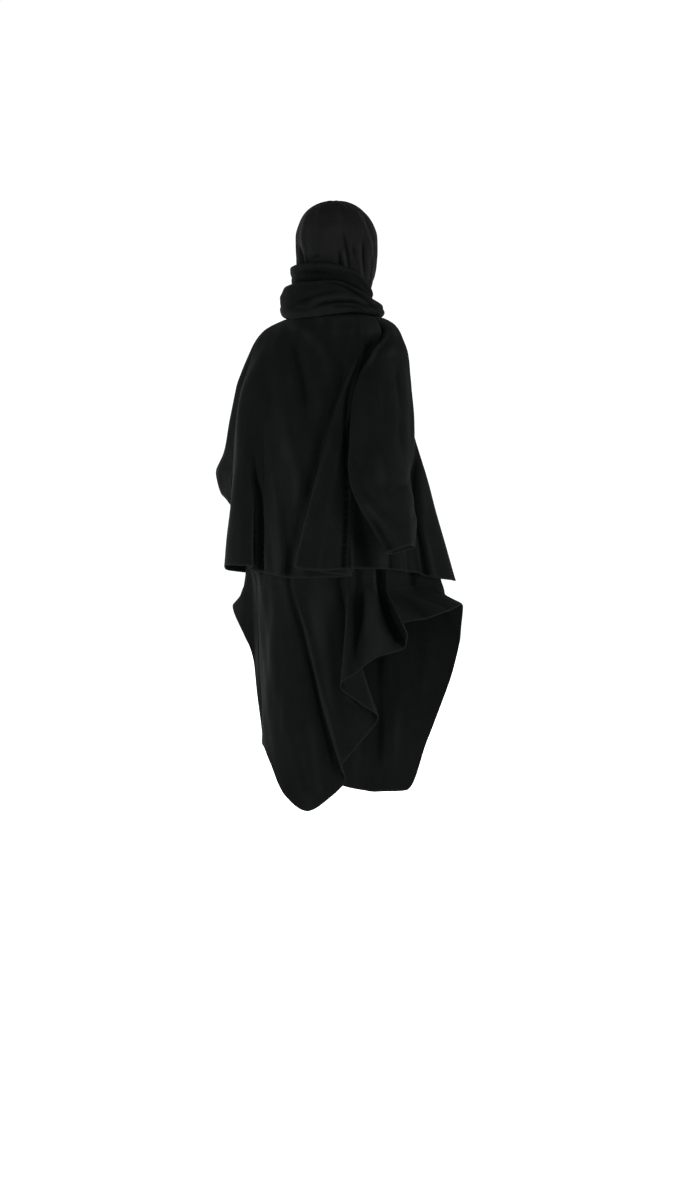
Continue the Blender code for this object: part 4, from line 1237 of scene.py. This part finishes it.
def cut_face_opening(points, faces, marks):
    """Leave out the faces in the oval of the face, and set the edge on the oval."""
    opening = FACE_OPENING
    across = points[:, 0] / MM / opening["half_width"]
    up = (points[:, 2] / MM - opening["height"]) / opening["half_height"]
    out = np.hypot(across, up)
    inside = (out < 1) & (points[:, 1] < -opening["depth"] * MM)
    kept = inside[faces].sum(1) < 2
    faces, marks = faces[kept], marks[kept]
    used, faces = np.unique(faces, return_inverse=True)
    faces = faces.reshape(-1, 4)
    points, out = points[used].copy(), out[used]
    start, end, _, _ = free_edges(faces, len(points))
    edge = np.unique(np.concatenate([start, end]))
    edge = edge[(out[edge] < FACE_REACH) & (points[edge, 1] < -opening["depth"] * MM)]
    middle = np.array([0, 0, opening["height"] * MM])
    for axis in (0, 2):
        points[edge, axis] = middle[axis] + (points[edge, axis] - middle[axis]) / out[edge]
    width, _, front, shift = hood_sides(points[edge, 2] / MM)
    inward = np.clip(1 - (points[edge, 0] / MM / width) ** 2, 0, 1)
    points[edge, 1] = (shift - front * np.sqrt(inward)) * MM
    return points, faces, marks, edge


def turned_hem(points, faces, edge, normals):
    """Raise a narrow hem round the face opening, with the dip of its stitch line behind it."""
    far = edge_distance(points, faces, edge)
    rise = sum(height * np.exp(-((far - middle) / width) ** 2) for height, middle, width in FACE_HEM)
    return points + normals * rise[:, None] * MM


def wrap_grid(name, stations, section, settings):
    """Grid of a wound stretch of the scarf: a folded band swept round the neck."""
    angles = np.linspace(-180, 180, WRAP_COLUMNS, endpoint=False)
    table = np.array(stations)
    low, high, size = (smooth(table[:, 0], table[:, part], angles) for part in (1, 2, 3))
    lines = np.array([section(*values) for values in zip(angles, low, high, size)])
    grid = finer(place(angles, lines[..., 0].T, lines[..., 1].T), 0, 5)
    return pressed(name, grid, settings.crease_strength, closed=True, flip=True, swing=WRAP_SWING)


def round_hood(angle, height):
    """Radius that just clears the hood at one height."""
    return float(hood_radius(angle, np.array([height]))[0]) + SEAT_GAP


def round_upper_wrap(angle, height):
    """Radius that just clears the upper wrap at one height."""
    thick = smooth(*np.array(UPPER_WRAP)[:, [0, 3]].T, np.array([angle]))[0]
    return round_hood(angle, height) + thick + SEAT_GAP


def upper_section(angle, low, high, thick):
    """Radius and height down the outside of the upper wrap, over its roll and down inside."""
    foot, roll = WRAP_FOOT, 0.45 * thick
    outside = [(round_hood(angle, level) + thick, level) for level in np.linspace(foot, high - roll, 6)]
    inside = [(round_hood(angle, level), level) for level in np.linspace(high - roll, foot, 6)]
    return outside + [(round_hood(angle, high) + 0.5 * thick, high)] + inside


def lower_section(angle, low, high, outer):
    """The same for the lower wrap, whose inner edge is sewn to the neck edge."""
    neck = float(oval(angle, *YOKE[0][1:])) - NECK_WALL
    seam, tall = NECK_HEIGHT + SEAM_GAP, high - low

    def against(level):
        return max(round_upper_wrap(angle, level), neck)

    inner_top = high - 0.22 * tall
    inside = [(against(level), level) for level in np.linspace(inner_top, seam + 5, 5)]
    return [(outer - 23, low + 7),
            (outer - 19, low + 2),
            (outer - 12, low),
            (outer - 3, low + 0.12 * tall),
            (outer, low + 0.34 * tall),
            (outer - 1, low + 0.58 * tall),
            (outer - 6, low + 0.84 * tall),
            ((outer + against(high)) / 2 + 1, high),
            (against(high) + 3, low + 0.92 * tall)] + inside + [(neck, seam)]


# ---------------------------------------------------------------------------------------------
# Finishes
# ---------------------------------------------------------------------------------------------
# Painted shade in the creases and painted highlights on their crests: how much of each is painted, the trough depths
# and crest heights in millimetres where they set in, and their colour factors.
CREASE_PAINT_SHARE = 0.8
TROUGH_DEPTHS, TROUGH_SHADE = (0.2, 4.6), 0.15
CREST_HEIGHTS, CREST_HIGHLIGHT = (0.4, 4.4), 2.0


class Varying:
    """A number that varies over the cloth. Sums on it become Math nodes."""

    def __init__(self, finish, socket):
        self.finish = finish
        self.socket = socket

    def math(self, operation, *values):
        return self.finish.add("ShaderNodeMath", {"operation": operation}, dict(enumerate(values)))

    def __add__(self, other):
        return self.math("ADD", self, other)

    def __sub__(self, other):
        return self.math("SUBTRACT", self, other)

    def __rsub__(self, other):
        return self.math("SUBTRACT", other, self)

    def __mul__(self, other):
        return self.math("MULTIPLY", self, other)

    def above(self, low, high):
        """0 below the one limit and 1 above the other."""
        return self.finish.add("ShaderNodeMapRange", {"interpolation_type": "SMOOTHSTEP"},
                               {"Value": self, "From Min": low, "From Max": high})

    __radd__ = __add__
    __rmul__ = __mul__


class Finish:
    """A material under construction: adds nodes and wires them."""

    def __init__(self, name):
        self.material = bpy.data.materials.new(name)
        self.material.use_nodes = True
        self.tree = self.material.node_tree
        self.shader = self.tree.nodes["Principled BSDF"]

    def wire(self, node, values):
        for key, value in values.items():
            socket = node.inputs[key]
            if isinstance(value, Varying):
                self.tree.links.new(value.socket, socket)
            else:
                socket.default_value = value

    def add(self, kind, settings=None, values=None, output=0):
        """Any node: its type, its settings, and the values or links of its sockets."""
        node = self.tree.nodes.new(kind)
        for key, value in (settings or {}).items():
            setattr(node, key, value)
        self.wire(node, values or {})
        return Varying(self, node.outputs[output])

    def noise(self, where, scale, detail=2.0, roughness=0.5):
        return self.add("ShaderNodeTexNoise", None, {"Vector": where, "Scale": scale, "Detail": detail,
                                                     "Roughness": roughness}, "Fac")

    def blend(self, part, one, two, mode="MIX"):
        """A colour between two others."""
        node = self.tree.nodes.new("ShaderNodeMix")
        node.data_type = "RGBA"
        node.blend_type = mode
        sockets = {"Factor": 0, "A": 6, "B": 7}
        self.wire(node, {sockets["Factor"]: part, sockets["A"]: one, sockets["B"]: two})
        return Varying(self, node.outputs[2])

    def crease_shade_and_highlight(self, base, color):
        """Painted shade down in the creases and painted highlights on their crests, from how proud the cloth stands.
        """
        crest = self.mark("crest")
        trough = (0.0 - crest).above(*TROUGH_DEPTHS)
        base = self.blend(trough * CREASE_PAINT_SHARE, base, shade(color, TROUGH_SHADE))
        return self.blend(crest.above(*CREST_HEIGHTS) * CREASE_PAINT_SHARE, base, shade(color, CREST_HIGHLIGHT))

    def mark(self, name):
        """A value that the piece's mesh carries."""
        return self.add("ShaderNodeAttribute", {"attribute_name": name}, None, "Fac")


def shade(color, by):
    """The colour times a number, with full cover."""
    return (*(part * by for part in color), 1.0)


def felted_wool(settings, name="felted_wool", depth=1.0):
    """Dense black wool cloth: matt, with a short nap and a slow cloudiness, painted shade in its creases, painted
    highlights on their crests and along its cut edges.
    """
    finish = Finish(name)
    where = finish.add("ShaderNodeTexCoord", None, None, "Object")
    napped = finish.add("ShaderNodeMapping", None, {"Vector": where, "Scale": (1.0, 1.0, 0.45)})
    cloud = finish.noise(where, 11.0, 3.0, 0.55)
    patch = finish.noise(napped, 58.0, 3.0, 0.6)
    nap = finish.noise(napped, settings.nap_scale, 3.0, 0.65)
    fibre = finish.noise(napped, settings.nap_scale * 3.1, 2.0, 0.6)
    lint = finish.noise(where, 640.0, 1.0, 0.4).above(0.70, 0.78)
    edge = finish.mark("edge")

    # a depth below 1 darkens the whole colour as painted shade, as for the scarf
    color = [part * depth for part in settings.coat_color]
    tone = (cloud * 0.55 + patch * 0.25 + nap * 0.2).above(0.36, 0.66)
    base = finish.blend(tone, shade(color, 0.88), shade(color, 1.14))
    # painted shade in the creases and painted highlights on their crests
    base = finish.crease_shade_and_highlight(base, color)
    base = finish.blend(lint * 0.35, base, shade(color, 3.2))
    # painted highlight along the cut edges, where they catch the light; the nap breaks it up
    base = finish.blend(edge * (0.55 + nap * 0.5), base, shade(color, settings.edge_highlight))
    bump = finish.add("ShaderNodeBump", None, {"Strength": settings.nap_bump, "Distance": 0.0011,
                                               "Height": nap * 0.6 + fibre * 0.4 + patch * 0.8}, "Normal")
    finish.wire(finish.shader, {
        "Base Color": base,
        "Roughness": 0.84 + nap * 0.14,
        "Normal": bump,
        "Metallic": 0.0,
        "Specular IOR Level": 0.02,
        "Sheen Weight": settings.sheen,
        "Sheen Roughness": 0.42,
        "Sheen Tint": (0.80, 0.86, 0.88, 1.0),
    })
    return finish.material


def scarf_wool(settings):
    """The same wool, darker all over: painted shade for the thick wound turns of the scarf."""
    return felted_wool(settings, "scarf_wool", 0.72)


def hood_jersey(settings):
    """Softer, thinner, slightly greyer jersey: fine knit ribs, painted shade in its creases, painted highlights on
    their crests and along its edges.
    """
    finish = Finish("hood_jersey")
    where = finish.add("ShaderNodeTexCoord", None, None, "Object")
    laid = finish.add("ShaderNodeTexCoord", None, None, "UV")
    cloud = finish.noise(where, 15.0, 3.0, 0.5)
    nap = finish.noise(where, settings.nap_scale * 1.2, 3.0, 0.6)
    rib = finish.add("ShaderNodeTexWave", {"wave_type": "BANDS", "bands_direction": "X"},
                     {"Vector": laid, "Scale": 190.0, "Distortion": 1.2, "Detail": 1.0,
                      "Detail Scale": 3.0}, "Fac")
    edge = finish.mark("edge")
    color = settings.hood_color
    tone = (cloud * 0.75 + nap * 0.25).above(0.34, 0.68)
    base = finish.blend(tone, shade(color, 0.88), shade(color, 1.14))
    # painted shade in the creases and painted highlights on their crests
    base = finish.crease_shade_and_highlight(base, color)
    base = finish.blend(rib * 0.16, base, shade(color, 0.55))
    # painted highlight along the hood's edges, where they catch the light
    base = finish.blend(edge * 0.5, base, shade(color, 1.9))
    bump = finish.add("ShaderNodeBump", None, {"Strength": 0.35, "Distance": 0.0006,
                                               "Height": rib * 0.7 + nap * 0.6}, "Normal")
    finish.wire(finish.shader, {
        "Base Color": base,
        "Roughness": 0.78 + nap * 0.16,
        "Normal": bump,
        "Metallic": 0.0,
        "Specular IOR Level": 0.03,
        "Sheen Weight": settings.sheen * 1.2,
        "Sheen Roughness": 0.38,
        "Sheen Tint": (0.86, 0.86, 0.90, 1.0),
    })
    return finish.material


def finish_of(kind, settings):
    """A finish by name, made once and then used again."""
    made = bpy.data.materials.get(kind)
    if made is None:
        makers = {"felted_wool": felted_wool, "scarf_wool": scarf_wool, "hood_jersey": hood_jersey}
        made = makers[kind](settings)
    return made


# ---------------------------------------------------------------------------------------------
# Settings, operators and panel
# ---------------------------------------------------------------------------------------------
def number(name, description, default, low=None, high=None, **more):
    """A number on the panel, with the limits it is given."""
    limits = {key: value for key, value in (("min", low), ("max", high)) if value is not None}
    return bpy.props.FloatProperty(name=name, description=description, default=default, **limits, **more)


def tint(name, description, default):
    """A colour on the panel."""
    return bpy.props.FloatVectorProperty(name=name, description=description, default=default,
                                         subtype="COLOR", size=3, min=0.0, max=1.0)


class ScarfCoatSettings(bpy.types.PropertyGroup):
    """Sizes and colours of the cloth."""

    coat_wall: number("Coat cloth", "Thickness of the coat's wool, in millimetres", 3.0, 1.0, 5.0)
    hood_wall: number("Hood cloth", "Thickness of the hood's jersey, in millimetres", 1.8, 0.8, 3.0)
    row_step: number("Fineness", "Distance between rows of the cloth, in millimetres", 5.5, 3.0, 20.0)
    crease_strength: number("Creases", "How deep the creases are pressed in", 1.0, 0.0, 2.0, subtype="FACTOR")
    coat_color: tint("Coat colour", "Colour of the wool", (0.0034, 0.0038, 0.0038))
    hood_color: tint("Hood colour", "Colour of the hood's jersey", (0.0050, 0.0051, 0.0052))
    # the brightening of the cut edges is a painted highlight, where they catch the light
    edge_highlight: number("Edge paleness", "How much paler the cut edges are than the cloth", 1.7, 1.0, 8.0)
    sheen: number("Sheen", "Strength of the nap's sheen", 0.008, 0.0, 1.0, subtype="FACTOR")
    nap_scale: number("Nap", "Tufts of the nap to the metre", 420.0, 50.0, 2000.0)
    nap_bump: number("Nap relief", "Strength of the nap's relief", 0.5, 0.0, 1.0, subtype="FACTOR")


class ScarfCoatStageSettings(bpy.types.PropertyGroup):
    """Sizes and lights of the stage."""

    floor_size: number("Floor", "Side of the floor", 90.0, 4.0, unit="LENGTH")
    floor_color: tint("Floor colour", "Colour of the floor", (0.90, 0.90, 0.90))
    sky: number("Sky", "Strength of the light from all round", 1.12, 0.0, 10.0)
    zenith: number("Overhead", "How bright the sky is overhead, as a share of the sides", 0.34, 0.0, 1.0,
                   subtype="FACTOR")
    floor_glow: number("Floor glow", "Light that the floor itself gives, so that it stays white",
                       1.6, 0.0, 4.0)
    key: number("Side lights", "Power of the right side light, of which the left one has a share",
                60.0, 0.0, unit="POWER")
    fill: number("Front light", "Power of the light beside the camera", 22.0, 0.0, unit="POWER")
    rim: number("Edge lights", "Power of the left light from behind, of which the right one has a share",
                36.0, 0.0, unit="POWER")
    azimuth: number("Side seen", "Where the camera stands round the coat, 0 is the front",
                    math.radians(MAIN_SIDE), subtype="ANGLE")
    distance: number("Distance", "From the camera to the coat's axis", 6.0, 1.0, unit="LENGTH")
    aim_height: number("Aim", "Height of the middle of the view over the shoulder line",
                       -0.625, unit="LENGTH")
    aim_right: number("Aim right", "Middle of the view right of the coat's axis", 0.0084, unit="LENGTH")
    half_view: number("Half view", "Half the view's height for each metre of distance", 0.239, 0.05, 1.0)


class SCARFCOAT_OT_upper_tier(bpy.types.Operator):
    """Cut and hang the back and the two fronts of the upper tier"""

    bl_idname = "scarf_coat.upper_tier"
    bl_label = "Upper Tier"
    bl_options = {"REGISTER", "UNDO"}

    def execute(self, context):
        settings = context.scene.scarf_coat
        wool = finish_of("felted_wool", settings)
        for node, grid in creased_upper_grids(settings).items():
            panel(node, grid, settings, wool, "draped")
        return {"FINISHED"}


class SCARFCOAT_OT_sleeves(bpy.types.Operator):
    """Cut and set in the two deep sleeves"""

    bl_idname = "scarf_coat.sleeves"
    bl_label = "Sleeves"
    bl_options = {"REGISTER", "UNDO"}

    def execute(self, context):
        settings = context.scene.scarf_coat
        wool = finish_of("felted_wool", settings)
        for *pattern, flip in SLEEVES:
            sleeve(*pattern, settings, wool, flip)
        return {"FINISHED"}


class SCARFCOAT_OT_lower_tier(bpy.types.Operator):
    """Hang the draped lower tier: the long back, the waterfall of folds and the two far layers"""

    bl_idname = "scarf_coat.lower_tier"
    bl_label = "Lower Tier"
    bl_options = {"REGISTER", "UNDO"}

    def execute(self, context):
        settings = context.scene.scarf_coat
        wool = finish_of("felted_wool", settings)
        for node, grid in lower_grids(settings).items():
            panel(node, grid, settings, wool, "hung", ["back_panel"])
        return {"FINISHED"}


class SCARFCOAT_OT_scarf(bpy.types.Operator):
    """Wind the two stretches of the scarf round the neck"""

    bl_idname = "scarf_coat.scarf"
    bl_label = "Scarf"
    bl_options = {"REGISTER", "UNDO"}

    def execute(self, context):
        settings = context.scene.scarf_coat
        # the scarf takes the coat wool darkened all over, as painted shade
        wool = finish_of("scarf_wool", settings)
        for node, stations, section in (("scarf_upper_wrap", UPPER_WRAP, upper_section),
                                        ("scarf_lower_wrap", LOWER_WRAP, lower_section)):
            grid = wrap_grid(node, stations, section, settings)
            faces, marks = grid_faces(grid, closed=True, flip=True)
            piece = cloth_wall(node + "_cloth", grid.reshape(-1, 3), faces, marks, settings.coat_wall)
            dress(piece, node, "wool", wool, flat_size(grid, closed=True), "folded", ["back_panel"])
        return {"FINISHED"}


class SCARFCOAT_OT_hood(bpy.types.Operator):
    """Gather the soft hood and hem its face opening"""

    bl_idname = "scarf_coat.hood"
    bl_label = "Hood"
    bl_options = {"REGISTER", "UNDO"}

    def execute(self, context):
        settings = context.scene.scarf_coat
        grid = hood_grid(settings)
        faces, marks = grid_faces(grid, closed=True)
        columns = grid.shape[1]
        ring = np.arange(columns)
        tip = grid.shape[0] * columns
        points = np.concatenate([grid.reshape(-1, 3), grid[:1].mean(1) + [[0, 0, 0.4 * MM]]])
        fan = np.stack([np.full(columns, tip), ring, (ring + 1) % columns, np.full(columns, tip)], 1)
        fan_marks = np.repeat(np.stack([ring, 0 * ring], 1)[:, None] * 0.0001, 4, 1)
        faces = np.concatenate([faces, fan])
        marks = np.concatenate([marks, fan_marks])
        points, faces, marks, edge = cut_face_opening(points, faces, marks)
        points = turned_hem(points, faces, edge, softened_normals(points, faces))
        piece = cloth_wall("hood_cloth", points, faces, marks, settings.hood_wall)
        width_length, area = flat_size(grid, closed=True)
        jersey = finish_of("hood_jersey", settings)
        size = (width_length, area * FACE_KEPT)
        dress(piece, "hood", "hood_cloth", jersey, size, "gathered", ["scarf_upper_wrap"])
        return {"FINISHED"}


SENSOR_WIDTH = 36.0
SKY_FADE = (0.12, 0.8)      # between these heights of a direction the sky dims to its zenith
FLOOR_DRIFT = (0.985, 1.0)  # darkest and palest share of the floor's colour
LEFT_KEY_SHARE = 0.58       # power of the left side light, as a share of the right one's
RIGHT_RIM_SHARE = 0.2       # power of the right edge light, as a share of the left one's


class SCARFCOAT_OT_stage(bpy.types.Operator):
    """Set out the pale floor, the soft lights and the camera"""

    bl_idname = "scarf_coat.stage"
    bl_label = "Stage"
    bl_options = {"REGISTER", "UNDO"}

    def execute(self, context):
        settings = context.scene.scarf_coat_stage
        scene = context.scene
        finish = Finish("pale_floor")
        where = finish.add("ShaderNodeTexCoord", None, None, "Object")
        drift = finish.noise(where, 1.3, 2.0)
        floor_color = finish.blend(drift, *(shade(settings.floor_color, by) for by in FLOOR_DRIFT))
        finish.wire(finish.shader, {"Base Color": floor_color, "Roughness": 0.9, "Specular IOR Level": 0.1,
                                    "Emission Color": (1.0, 1.0, 1.0, 1.0),
                                    "Emission Strength": settings.floor_glow})
        bpy.ops.mesh.primitive_grid_add(x_subdivisions=8, y_subdivisions=8, size=settings.floor_size,
                                        location=(0, 0, FLOOR_HEIGHT))
        floor = context.object
        floor.name = "floor"
        bpy.ops.object.transform_apply(location=True, rotation=True, scale=True)
        floor.data.materials.append(finish.material)
        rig.stage(floor)

        sky = bpy.data.worlds.new("pale_sky")
        scene.world = sky
        sky.use_nodes = True
        background = sky.node_tree.nodes["Background"]
        background.inputs["Color"].default_value = (1.0, 1.0, 1.0, 1.0)
        nodes, links = sky.node_tree.nodes, sky.node_tree.links
        up = nodes.new("ShaderNodeSeparateXYZ")
        links.new(nodes.new("ShaderNodeTexCoord").outputs["Generated"], up.inputs[0])
        falling = nodes.new("ShaderNodeMapRange")
        for name, value in (("From Min", SKY_FADE[0]), ("From Max", SKY_FADE[1]),
                            ("To Min", settings.sky), ("To Max", settings.sky * settings.zenith)):
            falling.inputs[name].default_value = value
        links.new(up.outputs["Z"], falling.inputs["Value"])
        links.new(falling.outputs[0], background.inputs["Strength"])
        scene.view_settings.view_transform = "Standard"

        turn = settings.azimuth
        right = Vector((math.cos(turn), math.sin(turn), 0))
        towards = Vector((math.sin(turn), -math.cos(turn), 0))
        aim = Vector((0, 0, settings.aim_height)) + right * settings.aim_right
        camera = bpy.data.objects.new("camera", bpy.data.cameras.new("camera"))
        scene.collection.objects.link(camera)
        camera.data.sensor_fit = "AUTO"
        camera.data.sensor_width = SENSOR_WIDTH
        camera.data.lens = SENSOR_WIDTH / 2 / settings.half_view
        camera.location = aim + towards * settings.distance
        camera.rotation_euler = (aim - camera.location).to_track_quat("-Z", "Y").to_euler()
        scene.camera = camera

        lights = (
            # name, right, towards the camera, height, side, power
            ("side_left", -3.2, 1.0, -0.3, 2.4, settings.key * LEFT_KEY_SHARE),
            ("side_right", 3.2, 1.0, -0.3, 2.4, settings.key),
            ("front", -0.4, 4.6, 0.3, 2.0, settings.fill),
            ("rim_left", -1.9, -2.8, 0.5, 1.4, settings.rim),
            ("rim_right", 2.6, -1.6, 0.4, 1.4, settings.rim * RIGHT_RIM_SHARE),
        )
        for name, across, ahead, height, side, power in lights:
            lamp = bpy.data.lights.new(name, "AREA")
            lamp.size = side
            lamp.energy = power
            light = bpy.data.objects.new(name, lamp)
            scene.collection.objects.link(light)
            light.location = aim + right * across + towards * ahead + Vector((0, 0, height))
            light.rotation_euler = (aim - light.location).to_track_quat("-Z", "Y").to_euler()
        return {"FINISHED"}


class SCARFCOAT_PT_panel(bpy.types.Panel):
    """Lists the coat's pieces and its settings"""

    bl_label = "Scarf Coat"
    bl_idname = "SCARFCOAT_PT_panel"
    bl_space_type = "VIEW_3D"
    bl_region_type = "UI"
    bl_category = "Scarf Coat"

    def draw(self, context):
        column = self.layout.column(align=True)
        for operator in OPERATORS:
            column.operator(operator.bl_idname)
        for settings in (context.scene.scarf_coat, context.scene.scarf_coat_stage):
            box = self.layout.box()
            for name in settings.__annotations__:
                box.prop(settings, name)


OPERATORS = (
    SCARFCOAT_OT_upper_tier,
    SCARFCOAT_OT_sleeves,
    SCARFCOAT_OT_lower_tier,
    SCARFCOAT_OT_scarf,
    SCARFCOAT_OT_hood,
    SCARFCOAT_OT_stage,
)
CLASSES = (ScarfCoatSettings, ScarfCoatStageSettings, *OPERATORS, SCARFCOAT_PT_panel)


def register():
    for made in CLASSES:
        bpy.utils.register_class(made)
    bpy.types.Scene.scarf_coat = bpy.props.PointerProperty(type=ScarfCoatSettings)
    bpy.types.Scene.scarf_coat_stage = bpy.props.PointerProperty(type=ScarfCoatStageSettings)


def unregister():
    del bpy.types.Scene.scarf_coat_stage
    del bpy.types.Scene.scarf_coat
    for made in reversed(CLASSES):
        bpy.utils.unregister_class(made)


def main():
    register()
    bpy.ops.object.select_all(action="DESELECT")
    bpy.ops.scarf_coat.upper_tier()
    bpy.ops.scarf_coat.sleeves()
    bpy.ops.scarf_coat.lower_tier()
    bpy.ops.scarf_coat.scarf()
    bpy.ops.scarf_coat.hood()
    bpy.ops.scarf_coat.stage()
    sizes = {name: [list(map(float, corner)) for corner in corners]
             for name, corners in (("cad_box", CAD_BOX), ("visual_box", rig.bounds()))}
    with_path = bpy.path.abspath(SIZE_FILE)
    write_sizes(with_path, sizes)


def write_sizes(path, sizes):
    """Write the two boxes as plain lists of numbers."""
    with open(path, "w") as file:
        json.dump(sizes, file)


if __name__ == "__main__":
    main()
